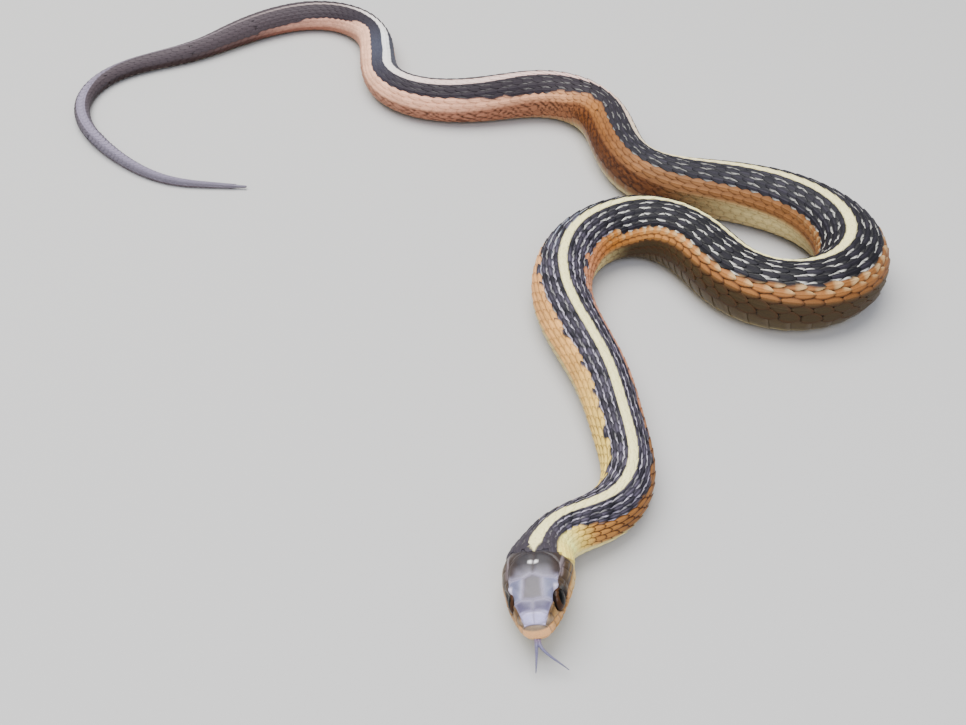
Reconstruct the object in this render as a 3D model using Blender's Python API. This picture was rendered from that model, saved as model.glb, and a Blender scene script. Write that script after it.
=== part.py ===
"""Common garter snake at life size, a still model that lies in open curves with its head raised.

Everything is set out along one route, drawn on the floor from the tip of the snout to the tip of
the tail. A station is a distance along that route in millimetres. A section's angle runs from the
top of the back, 0, to the middle of the belly, 180, and is positive on the snake's left.
"""

import math

import bmesh
import bpy
import numpy as np
from mathutils import Matrix, Vector

MM = 0.001
PART_NAME = "garter_snake"

# The route's points on the floor, snout first, and the middle of the model's box among them.
ROUTE = (
    (6.75, 97.5), (7.1, 104.5), (7.9, 111.0), (10.4, 115.2), (14.7, 117.8), (19.3, 121.7),
    (21.0, 127.7), (20.5, 134.5), (19.5, 142.5), (18.1, 149.6), (15.7, 157.2), (13.4, 166.5),
    (13.8, 175.0), (16.8, 182.2), (21.8, 187.0), (28.2, 188.5), (34.3, 185.7), (38.4, 180.0),
    (41.6, 173.4), (46.8, 168.3), (54.0, 167.2), (60.6, 170.6), (64.2, 177.2), (63.6, 185.6),
    (59.0, 192.8), (51.8, 197.8), (44.0, 200.8), (36.8, 202.8), (31.2, 206.2), (27.9, 212.0),
    (26.3, 219.4), (24.9, 227.8), (21.4, 235.0), (15.5, 238.9), (8.5, 239.2), (1.0, 237.6),
    (-6.5, 237.0), (-13.9, 238.9), (-19.6, 243.8), (-22.6, 251.0), (-23.7, 259.5), (-24.8, 267.5),
    (-28.2, 275.0), (-34.2, 280.0), (-42.0, 281.0), (-50.0, 277.8), (-58.0, 271.5), (-66.0, 264.4),
    (-74.0, 260.0), (-80.9, 255.4), (-85.1, 248.4), (-85.7, 240.0), (-82.3, 230.5), (-75.6, 221.5),
    (-67.2, 213.9), (-60.0, 210.3), (-53.0, 209.5), (-46.0, 209.0),
)
ROUTE_CENTRE = (-8.61, 189.32)
ROUTE_EASE = 3.0
ROUTE_STEP = 0.1

# The diameter of the body at stations along the route.
GIRTH = (
    (15.2, 7.1), (24.0, 7.2), (34.0, 7.6), (46.0, 8.1), (58.0, 8.9), (70.0, 9.6), (84.0, 10.1),
    (96.0, 10.6), (107.0, 11.3), (122.0, 11.6), (150.0, 12.0), (175.0, 11.6), (195.0, 10.6),
    (214.0, 9.8), (240.0, 9.8), (258.0, 9.2), (272.0, 8.5), (284.0, 7.9), (300.0, 7.4),
    (316.0, 6.9), (332.0, 6.4), (343.0, 5.7), (354.0, 4.6), (366.0, 3.9), (380.0, 3.4),
    (392.0, 3.1), (404.0, 2.8), (414.0, 2.4), (424.0, 1.9), (433.0, 1.45), (443.0, 0.9),
)
BODY_HEIGHT = 0.97
BELLY_SINK = 0.9

# The head: station, half width, rise over the widest level, drop under it, squareness above.
HEAD = (
    (0.00, 0.00, 0.00, 0.00, 2.3), (0.12, 0.72, 0.95, 0.35, 2.3), (0.45, 1.42, 1.60, 0.72, 2.5),
    (1.00, 1.95, 2.12, 1.05, 2.8), (1.80, 2.42, 2.62, 1.35, 3.0), (3.00, 3.05, 3.15, 1.68, 3.1),
    (4.80, 3.70, 3.62, 2.00, 3.1), (6.40, 4.18, 3.88, 2.22, 2.8), (8.10, 4.58, 3.95, 2.42, 2.6),
    (9.80, 4.74, 3.92, 2.60, 2.5), (11.60, 4.66, 3.80, 2.76, 2.4), (13.40, 4.22, 3.62, 2.92, 2.2),
    (15.20, 3.72, 3.48, 3.15, 2.1), (18.00, 3.57, 3.46, 3.30, 2.0),
)
HEAD_LENGTH = 15.2
HEAD_HEIGHT = 4.3
NECK_DOWN_AT = 30.0
HEAD_ROLL = 12.5
ROLL_ENDS_AT = 36.0

# The mouth line lies this far under the widest level, and its corner is behind the eye.
LIP_LEVEL = -0.3
MOUTH_CORNER = 11.4
MOUTH_WIDTH = 0.26
MOUTH_DEPTH = 0.42

EYE_STATION = 4.55
EYE_LEVEL = 1.6
EYE_RADIUS = 1.5
EYE_DEPTH = 0.95
EYE_SINK = 0.2
ORBIT_DEPTH = 0.34
ORBIT_LENGTH = 2.1
ORBIT_HEIGHT = 0.9
ORBIT_DROP = 0.2
BELLY_SQUARENESS = 2.2
NOSTRIL_STATION = 1.15
NOSTRIL_LEVEL = 1.25
NOSTRIL_RADIUS = 0.27

# The tongue's two strands, side by side in the stem and parted at the fork.
MOUTH_FRONT = (6.72, 97.9, 3.98)
TONGUE_NOTCH = (1.5, 2.0, 0.95)
TONGUE_RADIUS = 0.27
LEFT_STRAND = (
    (6.98, 98.5, 3.95), (7.0, 97.6, 3.9), (7.1, 97.0, 3.4), (7.7, 96.5, 2.85), (8.8, 96.0, 2.1),
    (9.9, 95.55, 1.5), (10.8, 95.0, 1.1),
)
RIGHT_STRAND = (
    (6.6, 98.5, 3.95), (6.62, 97.6, 3.9), (6.68, 97.0, 3.4), (6.7, 96.2, 2.5), (6.66, 95.4, 1.7),
    (6.6, 94.5, 1.1),
)

# Plates of the top of the head, each as station and distance from the middle. All but the frontal
# are drawn on the left and mirrored.
TOP_PLATES = {
    "internasal": ((0.62, 0.0), (0.68, 0.8), (0.95, 1.4), (1.75, 1.75), (1.98, 0.9), (2.0, 0.0)),
    "prefrontal": (
        (2.0, 0.0), (1.98, 0.9), (1.75, 1.75), (2.3, 2.15), (3.3, 2.45), (3.55, 1.45), (3.35, 0.0),
    ),
    "supraocular": (
        (3.55, 1.45), (3.3, 2.45), (4.0, 2.85), (5.3, 3.15), (6.3, 3.15), (6.6, 2.75),
        (6.55, 1.25), (5.2, 1.28),
    ),
    "parietal": (
        (7.25, 0.0), (6.55, 1.25), (6.6, 2.75), (7.2, 3.25), (8.2, 3.4), (9.2, 3.2),
        (10.2, 2.3), (10.9, 0.9), (10.75, 0.0),
    ),
}
FRONTAL = (
    (3.35, 0.0), (3.55, 1.45), (5.2, 1.28), (6.55, 1.25), (7.25, 0.0), (6.55, -1.25),
    (5.2, -1.28), (3.55, -1.45),
)

# Plates of the side of the head, as station and height over the widest level.
SIDE_PLATES = {
    "nasal": ((0.9, 1.05), (1.95, 1.0), (2.0, 2.2), (1.3, 2.0), (0.85, 1.5)),
    "loreal": ((2.0, 1.0), (2.9, 0.85), (3.0, 2.6), (2.05, 2.25)),
    "low_postocular": ((6.3, 0.8), (6.9, 1.15), (6.95, 2.1), (6.3, 2.1)),
    "high_postocular": ((6.3, 2.1), (6.95, 2.1), (7.0, 3.0), (6.5, 3.0)),
    "front_temporal": ((6.9, 1.15), (8.75, 1.3), (8.8, 2.95), (7.0, 2.95)),
    "low_temporal": ((8.75, 1.3), (10.5, 1.0), (10.6, 1.8), (8.8, 1.95)),
    "high_temporal": ((8.8, 1.95), (10.6, 1.8), (10.2, 2.7), (8.8, 2.95)),
}

# The lips: where one labial plate ends and the next begins, how high the upper ones reach at
# stations, and how far the lower ones drop.
UPPER_LABIALS = (0.85, 1.75, 2.75, 3.85, 5.15, 6.8, 8.9, 11.0)
UPPER_LABIAL_TOPS = (
    (0.8, 1.05), (1.9, 1.0), (3.2, 0.75), (3.9, 0.3), (5.1, 0.25), (6.0, 0.65), (7.2, 1.15),
    (9.0, 1.25), (10.6, 0.9), (11.4, 0.3),
)
LOWER_LABIALS = (0.9, 1.8, 2.7, 3.7, 4.8, 6.1, 7.6, 9.3, 11.0)
LOWER_LABIAL_DROP = -1.2
LIP_MARGIN = 0.2
PLATE_MARGIN = 0.1
PLATE_RISE = 0.13
PLATE_SINK = 0.35
PLATE_EDGE = 0.75

# The belly plates stand proud in steps, and this far round from the top the first of them begins.
SCUTE_FROM = 112.0
SCUTE_RISE = 0.16
SCUTE_LIP = 0.4

GAP = 0.3
NECK_END = 34.0
TORSO_ENDS = (58.0, 88.0, 107.0, 122.0, 141.0, 157.0, 178.0, 202.0, 230.0, 262.0, 284.0, 312.0)
TAIL_STARTS = 341.0
TAIL_ENDS = (368.0, 386.0, 412.0)
RING_SPACING = 3.1
BODY_SIDES = 16
TAIL_SIDES = 10

COLOURS = {
    "head": (0.19, 0.16, 0.15, 1.0),
    "body": (0.05, 0.045, 0.06, 1.0),
    "tail": (0.13, 0.11, 0.14, 1.0),
    "eye": (0.01, 0.008, 0.006, 1.0),
    "tongue": (0.12, 0.11, 0.20, 1.0),
}


def clear_scene():
    for item in list(bpy.data.objects):
        bpy.data.objects.remove(item, do_unlink=True)


def new_collection(name, hidden=False):
    collection = bpy.data.collections.new(name)
    collection.hide_render = hidden
    bpy.context.scene.collection.children.link(collection)
    return collection


def finish_of(name, roughness):
    material = bpy.data.materials.new(name)
    material.use_nodes = True
    shader = material.node_tree.nodes["Principled BSDF"]
    shader.inputs["Base Color"].default_value = COLOURS[name]
    shader.inputs["Roughness"].default_value = roughness
    return material


def natural_spline(points, step):
    """Points a step apart on the smooth curve through the given ones."""
    spans = np.hypot(*np.diff(points, axis=0).T)
    knots = np.concatenate([[0.0], np.cumsum(spans)])
    count = len(points)
    system, bends = np.eye(count), np.zeros_like(points)
    for i in range(1, count - 1):
        before, after = spans[i - 1], spans[i]
        system[i, i - 1 : i + 2] = before, 2.0 * (before + after), after
        rise = (points[i + 1] - points[i]) / after - (points[i] - points[i - 1]) / before
        bends[i] = 6.0 * rise
    second = np.linalg.solve(system, bends)
    at = np.arange(0.0, knots[-1], step)
    i = np.clip(np.searchsorted(knots, at, side="right") - 1, 0, count - 2)
    span = spans[i][:, None]
    left = (knots[i + 1] - at)[:, None] / span
    right = 1.0 - left
    curve = left * points[i] + right * points[i + 1]
    curve += ((left**3 - left) * second[i] + (right**3 - right) * second[i + 1]) * span**2 / 6.0
    return curve


def eased(curve, reach, step):
    """The curve with its sharpest bends relaxed by two running means."""
    half = int(reach / step)
    for _ in range(2):
        before = curve[0] - (curve[1] - curve[0]) * np.arange(half, 0, -1)[:, None]
        after = curve[-1] + (curve[-1] - curve[-2]) * np.arange(1, half + 1)[:, None]
        longer = np.concatenate([before, curve, after])
        sums = np.cumsum(np.concatenate([np.zeros((1, 2)), longer]), axis=0)
        curve = (sums[2 * half + 1 :] - sums[: -2 * half - 1]) / (2 * half + 1)
    return curve


def build_route():
    """The route's points, their stations and the unit vectors to the snake's left."""
    points = np.array(ROUTE, float) - ROUTE_CENTRE
    curve = eased(natural_spline(points, ROUTE_STEP), ROUTE_EASE, ROUTE_STEP)
    stations = np.concatenate([[0.0], np.cumsum(np.hypot(*np.diff(curve, axis=0).T))])
    along = np.gradient(curve, axis=0)
    along /= np.linalg.norm(along, axis=1)[:, None]
    left = np.stack([along[:, 1], -along[:, 0]], axis=1)
    return curve, stations, left


CURVE, STATIONS, LEFT = build_route()
BODY_LENGTH = float(STATIONS[-1])


def smooth(at, table, column=1):
    """A table's column read at stations, by a curve that never overshoots its values."""
    rows = np.array(table, float)
    x, y = rows[:, 0], rows[:, column]
    slopes = np.diff(y) / np.diff(x)
    turns = slopes[:-1] * slopes[1:] <= 0.0
    sums = np.where(turns, 1.0, slopes[:-1] + slopes[1:])
    inner = np.where(turns, 0.0, 2.0 * slopes[:-1] * slopes[1:] / sums)
    tangents = np.concatenate([slopes[:1], inner, slopes[-1:]])
    at = np.clip(at, x[0], x[-1])
    i = np.clip(np.searchsorted(x, at, side="right") - 1, 0, len(x) - 2)
    span = x[i + 1] - x[i]
    u = (at - x[i]) / span
    return (
        y[i] * (1.0 + 2.0 * u) * (1.0 - u) ** 2
        + tangents[i] * span * u * (1.0 - u) ** 2
        + y[i + 1] * u * u * (3.0 - 2.0 * u)
        + tangents[i + 1] * span * u * u * (u - 1.0)
    )


def blend(at, start, end):
    """0 up to start, 1 from end, and an even turn between them."""
    u = np.clip((at - start) / (end - start), 0.0, 1.0)
    return u * u * (3.0 - 2.0 * u)


def section_sizes(station):
    """Half width, rise, drop and squareness of the section at a station."""
    head_end = HEAD[-1][0]
    half = smooth(station, GIRTH) / 2.0
    body = (half, half * BODY_HEIGHT, half * BODY_HEIGHT, np.full_like(half, 2.0))
    head = [smooth(station, HEAD, column) for column in (1, 2, 3, 4)]
    on_body = station >= head_end
    return [np.where(on_body, b, h) for b, h in zip(body, head)]


def centre_height(station):
    resting = smooth(station, GIRTH) / 2.0 * BELLY_SINK
    down = blend(station, HEAD_LENGTH * 0.7, NECK_DOWN_AT)
    return HEAD_HEIGHT + (resting - HEAD_HEIGHT) * down


def local_section(station, angle):
    """Offsets to the left and up from the section's centre, before the head's roll."""
    half, rise, drop, square = section_sizes(station)
    sine, cosine = np.sin(np.radians(angle)), np.cos(np.radians(angle))
    upper = cosine >= 0.0
    power = 2.0 / np.where(upper, square, BELLY_SQUARENESS)
    across = half * np.sign(sine) * np.abs(sine) ** power
    up = np.where(upper, rise, drop) * np.sign(cosine) * np.abs(cosine) ** power
    ahead = (station - EYE_STATION) / ORBIT_LENGTH
    over = (up - EYE_LEVEL + ORBIT_DROP) / ORBIT_HEIGHT
    dent = ORBIT_DEPTH * np.exp(-(ahead**2) - over**2)
    return across - dent * np.sign(sine), up


def to_world(station, across, up):
    """Section offsets turned by the roll, put on the route and kept off the floor."""
    roll = np.radians(HEAD_ROLL) * (1.0 - blend(station, HEAD_LENGTH, ROLL_ENDS_AT))
    side = across * np.cos(roll) - up * np.sin(roll)
    height = across * np.sin(roll) + up * np.cos(roll) + centre_height(station)
    x = np.interp(station, STATIONS, CURVE[:, 0]) + side * np.interp(station, STATIONS, LEFT[:, 0])
    y = np.interp(station, STATIONS, CURVE[:, 1]) + side * np.interp(station, STATIONS, LEFT[:, 1])
    return np.stack([x, y, np.maximum(height, 0.0)], axis=-1)


def skin_point(station, angle, proud=0.0):
    """A point of the skin, or one that stands proud of it by a distance."""
    station, angle = np.broadcast_arrays(np.asarray(station, float), np.asarray(angle, float))
    across, up = local_section(station, angle)
    ahead = local_section(station, angle + 2.0)
    behind = local_section(station, angle - 2.0)
    run, lift = ahead[0] - behind[0], ahead[1] - behind[1]
    length = np.maximum(np.hypot(run, lift), 1e-6)
    return to_world(station, across - proud * lift / length, up + proud * run / length)


def angle_at_side(station, level):
    """The section angle where the skin is this far over the widest level."""
    _, rise, drop, square = section_sizes(np.asarray(station, float))
    share = np.clip(np.abs(level) / np.where(level >= 0.0, rise, drop), 0.0, 1.0)
    power = np.where(level >= 0.0, square, BELLY_SQUARENESS) / 2.0
    turn = np.degrees(np.arccos(share**power))
    return np.where(level >= 0.0, turn, 180.0 - turn)


def angle_at_top(station, across):
    """The section angle where the skin is this far from the middle, seen from above."""
    half, _, _, square = section_sizes(np.asarray(station, float))
    share = np.clip(np.abs(across) / half, 0.0, 1.0)
    return np.degrees(np.arcsin(share ** (square / 2.0))) * np.sign(across)


def off_surface(station, angle, height):
    """Points this far off the skin along its true outward direction."""
    station, angle = np.asarray(station, float), np.asarray(angle, float)
    here = skin_point(station, angle)
    along = skin_point(station + 0.1, angle) - skin_point(np.maximum(station - 0.1, 0.02), angle)
    around = skin_point(station, angle + 2.0) - skin_point(station, angle - 2.0)
    out = np.cross(around, along)
    out /= np.maximum(np.linalg.norm(out, axis=-1), 1e-9)[..., None]
    return here + out * np.asarray(height)[..., None]


def mesh_object(name, vertices, faces, collection, material=None):
    mesh = bpy.data.meshes.new(name)
    mesh.from_pydata([tuple(v * MM for v in point) for point in vertices], [], faces)
    work = bmesh.new()
    work.from_mesh(mesh)
    bmesh.ops.recalc_face_normals(work, faces=work.faces)
    work.to_mesh(mesh)
    work.free()
    mesh.shade_smooth()
    mesh.set_sharp_from_angle(angle=math.radians(40.0))
    if material:
        mesh.materials.append(material)
    item = bpy.data.objects.new(name, mesh)
    collection.objects.link(item)
    return item


def ring_faces(rings, sides, first=0):
    faces = []
    for ring in range(rings - 1):
        for side in range(sides):
            a, b = first + ring * sides + side, first + ring * sides + (side + 1) % sides
            faces.append((a, b, b + sides, a + sides))
    return faces


def body_length(name, start, end, sides, collection, material):
    """One length of the body, cut square to the route at both ends, with its belly plates."""
    start, end = start + GAP / 2.0, end - GAP / 2.0
    count = max(int(math.ceil((end - start) / RING_SPACING)), 2) + 1
    angles = (np.arange(sides) + 0.5) * 360.0 / sides
    on_belly = np.abs(angles - 180.0) < 180.0 - SCUTE_FROM
    rings = []
    for number, station in enumerate(np.linspace(start, end, count)):
        here = np.full(sides, station)
        rise = SCUTE_RISE * min(float(smooth(station, GIRTH)) / GIRTH[0][1], 1.0)
        if number:
            rings.append(skin_point(here, angles, on_belly * rise))
        if number < count - 1:
            rings.append(skin_point(here + SCUTE_LIP * (number > 0), angles))
    vertices = np.concatenate(rings)
    faces = ring_faces(len(rings), sides)
    faces.append(tuple(range(sides)))
    faces.append(tuple((len(rings) - 1) * sides + i for i in range(sides)))
    return mesh_object(name, vertices, faces, collection, material)


def head_ring(station):
    """One ring of the head, with the groove of the mouth let into each side."""
    lip = float(angle_at_side(station, LIP_LEVEL))
    wide = math.degrees(MOUTH_WIDTH / max(float(section_sizes(np.float64(station))[0]), 0.4)) / 2.0
    open_share = float(1.0 - blend(station, MOUTH_CORNER - 0.8, MOUTH_CORNER))
    depth = min(MOUTH_DEPTH, 0.35 * float(section_sizes(np.float64(station))[0])) * open_share
    upper = np.linspace(0.0, lip - wide, 11)
    lower = np.linspace(lip + wide, 180.0, 7)
    angles = np.concatenate([upper, [lip], lower])
    proud = np.zeros(len(angles))
    proud[11] = -depth
    angles = np.concatenate([angles, -angles[-2:0:-1]])
    proud = np.concatenate([proud, proud[-2:0:-1]])
    return skin_point(np.full(len(angles), station), angles, proud)


def head_loft(collection, material):
    """The head from the tip of the snout to the nape."""
    stations = [0.12, 0.45, 0.9, 1.4, 2.0]
    stations += list(np.linspace(2.7, HEAD_LENGTH - GAP / 2.0, 20))
    rings = [head_ring(s) for s in stations]
    sides = len(rings[0])
    tip = skin_point(0.0, 0.0)
    vertices = np.concatenate([[tip]] + rings)
    faces = [(0, 1 + i, 1 + (i + 1) % sides) for i in range(sides)]
    faces += ring_faces(len(rings), sides, first=1)
    faces.append(tuple(1 + (len(rings) - 1) * sides + i for i in range(sides)))
    return mesh_object("head", vertices, faces, collection, material)


def side_frame(station, level, side):
    """A point on the side of the head, and the unit vectors out of it and forward along it."""
    angle = float(angle_at_side(station, level)) * side
    here = skin_point(station, angle)
    out = skin_point(station, angle, 1.0) - here
    forward = skin_point(station - 0.5, angle) - skin_point(station + 0.5, angle)
    forward -= out * np.dot(forward, out) / np.dot(out, out)
    return here, out / np.linalg.norm(out), forward / np.linalg.norm(forward)


def subdivided(outline, edge):
    """The closed outline with points added so that none of its edges is longer than this."""
    found = []
    for (a, b), (c, d) in zip(outline, outline[1:] + outline[:1]):
        steps = max(int(math.ceil(math.hypot(c - a, d - b) / edge)), 1)
        for step in range(steps):
            share = step / steps
            found.append((a + (c - a) * share, b + (d - b) * share))
    return np.array(found)


def shrunk(outline, margin):
    """The outline drawn in towards its middle by about the margin."""
    middle = outline.mean(axis=0)
    reach = np.linalg.norm(outline - middle, axis=1)[:, None]
    return middle + (outline - middle) * np.maximum(1.0 - margin / reach, 0.5)


def plate(name, outline, find_angle, side, collection):
    """A low slab over an outline on the head, domed outside and sunk well in."""
    edge = shrunk(subdivided(outline, PLATE_EDGE), PLATE_MARGIN)
    middle = edge.mean(axis=0)
    inner = middle + (edge - middle) * 0.6
    count = len(edge)
    places = np.concatenate([edge, edge, inner, [middle], [middle]])
    heights = np.concatenate([
        np.full(count, -PLATE_SINK), np.full(count, PLATE_RISE * 0.6),
        np.full(count, PLATE_RISE), [PLATE_RISE], [-PLATE_SINK],
    ])
    angles = find_angle(places[:, 0], places[:, 1]) * side
    vertices = off_surface(places[:, 0], angles, heights)
    faces = ring_faces(3, count)
    for i in range(count):
        after = (i + 1) % count
        faces.append((2 * count + i, 2 * count + after, 3 * count))
        faces.append((after, i, 3 * count + 1))
    return mesh_object(name, vertices, faces, collection)


def lip_plates():
    """Outlines of the plates along the upper and the lower lip, by name."""
    found = {}
    low = LIP_LEVEL + LIP_MARGIN
    for number, (a, b) in enumerate(zip(UPPER_LABIALS, UPPER_LABIALS[1:]), 1):
        tops = [float(smooth(s, UPPER_LABIAL_TOPS)) for s in (b, (a + b) / 2.0, a)]
        found[f"upper_labial_{number}"] = (
            (a, low), (b, low), (b, tops[0]), ((a + b) / 2.0, tops[1]), (a, tops[2]),
        )
    high = LIP_LEVEL - LIP_MARGIN
    for number, (a, b) in enumerate(zip(LOWER_LABIALS, LOWER_LABIALS[1:]), 1):
        drop = max(LOWER_LABIAL_DROP, -0.75 * float(section_sizes(np.float64(a))[2]))
        found[f"lower_labial_{number}"] = ((a, high), (b, high), (b, drop), (a, drop))
    return found


def head_plates():
    """Every plate of the head, in a collection of its own."""
    collection = new_collection("plates")
    for side in (1, -1):
        for name, outline in TOP_PLATES.items():
            plate(f"{name}_{side}", outline, angle_at_top, side, collection)
        for name, outline in {**SIDE_PLATES, **lip_plates()}.items():
            plate(f"{name}_{side}", outline, angle_at_side, side, collection)
    plate("frontal", FRONTAL, angle_at_top, 1, collection)
    return collection


def eyeball(name, side, grow, collection, material=None):
    """A flattened globe set in the side of the head, or the larger one that cuts its socket."""
    here, out, forward = side_frame(EYE_STATION, EYE_LEVEL, side)
    up = np.cross(out, forward)
    mesh = bpy.data.meshes.new(name)
    work = bmesh.new()
    bmesh.ops.create_uvsphere(work, u_segments=18, v_segments=10, radius=1.0)
    for vertex in work.verts:
        a, b, c = vertex.co
        wide, deep = EYE_RADIUS + grow, EYE_DEPTH + grow
        point = here + (forward * a + up * b) * wide + out * (c * deep - EYE_SINK)
        vertex.co = point * MM
    bmesh.ops.recalc_face_normals(work, faces=work.faces)
    work.to_mesh(mesh)
    work.free()
    mesh.shade_smooth()
    if material:
        mesh.materials.append(material)
    item = bpy.data.objects.new(name, mesh)
    collection.objects.link(item)
    return item


def nostril_cutter(name, side, collection):
    here, out, forward = side_frame(NOSTRIL_STATION, NOSTRIL_LEVEL, side)
    up = np.cross(out, forward)
    vertices = []
    for depth, size in ((0.4, 1.25), (-0.15, 1.0), (-0.55, 0.7)):
        for turn in np.linspace(0.0, 2.0 * math.pi, 10, endpoint=False):
            reach = forward * math.cos(turn) + up * math.sin(turn) * 0.8
            vertices.append(here + out * depth + reach * NOSTRIL_RADIUS * size)
    faces = ring_faces(3, 10) + [tuple(range(10)), tuple(range(20, 30))]
    return mesh_object(name, vertices, faces, collection)


def strand(name, points, collection):
    """One strand of the tongue: a tapering tube along its points, closed at both ends."""
    data = bpy.data.curves.new(name, "CURVE")
    data.dimensions = "3D"
    data.bevel_depth = TONGUE_RADIUS * MM
    data.bevel_resolution = 2
    data.use_fill_caps = True
    spline = data.splines.new("NURBS")
    spline.points.add(len(points) - 1)
    spline.order_u = 3
    spline.use_endpoint_u = True
    spline.resolution_u = 3
    for number, (point, spot) in enumerate(zip(points, spline.points)):
        x, y, z = point
        spot.co = ((x - ROUTE_CENTRE[0]) * MM, (y - ROUTE_CENTRE[1]) * MM, z * MM, 1.0)
        spot.radius = 1.0 - 0.55 * max(number - 2, 0) / (len(points) - 3)
    tube = bpy.data.objects.new(name, data)
    collection.objects.link(tube)
    bpy.context.view_layer.update()
    graph = bpy.context.evaluated_depsgraph_get()
    mesh = bpy.data.meshes.new_from_object(tube.evaluated_get(graph))
    bpy.data.objects.remove(tube, do_unlink=True)
    work = bmesh.new()
    work.from_mesh(mesh)
    bmesh.ops.remove_doubles(work, verts=work.verts, dist=1e-6)
    bmesh.ops.recalc_face_normals(work, faces=work.faces)
    work.to_mesh(mesh)
    work.free()
    item = bpy.data.objects.new(name, mesh)
    collection.objects.link(item)
    return item


def build_tongue(parts, finish):
    tongue = strand("tongue", LEFT_STRAND, parts)
    tongue.data.materials.append(finish)
    joined = bpy.data.collections.new("tongue_strands")
    bpy.context.scene.collection.children.link(joined)
    strand("right_strand", RIGHT_STRAND, joined)
    fuse(tongue, joined)


def keep_largest(mesh):
    """Drops all but the largest closed surface of a mesh."""
    work = bmesh.new()
    work.from_mesh(mesh)
    left, surfaces = set(work.verts), []
    while left:
        found, edge = set(), [left.pop()]
        while edge:
            vertex = edge.pop()
            found.add(vertex)
            near = {e.other_vert(vertex) for e in vertex.link_edges} & left
            left -= near
            edge.extend(near)
        surfaces.append(found)
    surfaces.sort(key=len)
    for small in surfaces[:-1]:
        bmesh.ops.delete(work, geom=list(small), context="VERTS")
    work.to_mesh(mesh)
    work.free()


def fuse(item, others):
    """Joins a collection's meshes to an object, and removes them."""
    modifier = item.modifiers.new("fuse", "BOOLEAN")
    modifier.operation = "UNION"
    modifier.operand_type = "COLLECTION"
    modifier.collection = others
    bpy.context.view_layer.update()
    graph = bpy.context.evaluated_depsgraph_get()
    mesh = bpy.data.meshes.new_from_object(item.evaluated_get(graph))
    item.modifiers.remove(modifier)
    keep_largest(mesh)
    item.data = mesh
    for other in list(others.objects):
        bpy.data.objects.remove(other, do_unlink=True)
    bpy.data.collections.remove(others)


def tongue_notch(collection):
    """The small opening at the front of the mouth line that the tongue comes out of."""
    x, y, z = MOUTH_FRONT
    wide, deep, high = TONGUE_NOTCH
    work = bmesh.new()
    bmesh.ops.create_cube(work, size=1.0)
    bmesh.ops.bevel(
        work, geom=work.edges[:], offset=0.2, segments=1, affect="EDGES", clamp_overlap=True
    )
    turn = Matrix.Rotation(math.radians(-HEAD_ROLL), 4, "Y")
    place = Vector((x - ROUTE_CENTRE[0], y - ROUTE_CENTRE[1], z))
    for vertex in work.verts:
        a, b, c = vertex.co
        vertex.co = (turn @ Vector((a * wide, b * deep, c * high)) + place) * MM
    bmesh.ops.recalc_face_normals(work, faces=work.faces)
    mesh = bpy.data.meshes.new("tongue_notch")
    work.to_mesh(mesh)
    work.free()
    item = bpy.data.objects.new("tongue_notch", mesh)
    collection.objects.link(item)
    return item


def cut(item, cutter):
    cutter.hide_render = True
    cutter.display_type = "WIRE"
    modifier = item.modifiers.new(cutter.name, "BOOLEAN")
    modifier.operation = "DIFFERENCE"
    modifier.solver = "MANIFOLD"
    modifier.object = cutter


def build_head(parts, cutters):
    head = head_loft(parts, finish_of("head", 0.45))
    fuse(head, head_plates())
    eye_finish = finish_of("eye", 0.05)
    for side, word in ((1, "left"), (-1, "right")):
        cut(head, eyeball(f"{word}_socket", side, GAP, cutters))
        cut(head, nostril_cutter(f"{word}_nostril", side, cutters))
        eyeball(f"eye_{word}", side, 0.0, parts, eye_finish)
    cut(head, tongue_notch(cutters))


def build_body(parts):
    skin = finish_of("body", 0.5)
    tail_skin = finish_of("tail", 0.5)
    body_length("neck", HEAD_LENGTH, NECK_END, BODY_SIDES, parts, skin)
    ends = (NECK_END,) + TORSO_ENDS + (TAIL_STARTS,)
    for number, (start, end) in enumerate(zip(ends, ends[1:]), 1):
        body_length(f"torso_{number}", start, end, BODY_SIDES, parts, skin)
    ends = (TAIL_STARTS,) + TAIL_ENDS + (BODY_LENGTH,)
    for number, (start, end) in enumerate(zip(ends, ends[1:]), 1):
        body_length(f"tail_{number}", start, end, TAIL_SIDES, parts, tail_skin)


def main():
    clear_scene()
    parts = new_collection(PART_NAME)
    cutters = new_collection("cutters", hidden=True)
    build_head(parts, cutters)
    build_tongue(parts, finish_of("tongue", 0.35))
    build_body(parts)


main()
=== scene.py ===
"""A garter snake at life size: its skin, scales, belly plates, eyes and tongue, over the solid model.

The snake is set out along one route on the floor, snout first. A station is a distance along it in
millimetres, and a section's angle runs from the top of the back, 0, to the middle of the belly,
180, and is positive on the snake's left.
"""

import math

import bmesh
import bpy
import numpy as np
from bpy.props import FloatProperty, FloatVectorProperty, IntProperty, PointerProperty
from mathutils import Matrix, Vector, kdtree


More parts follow.
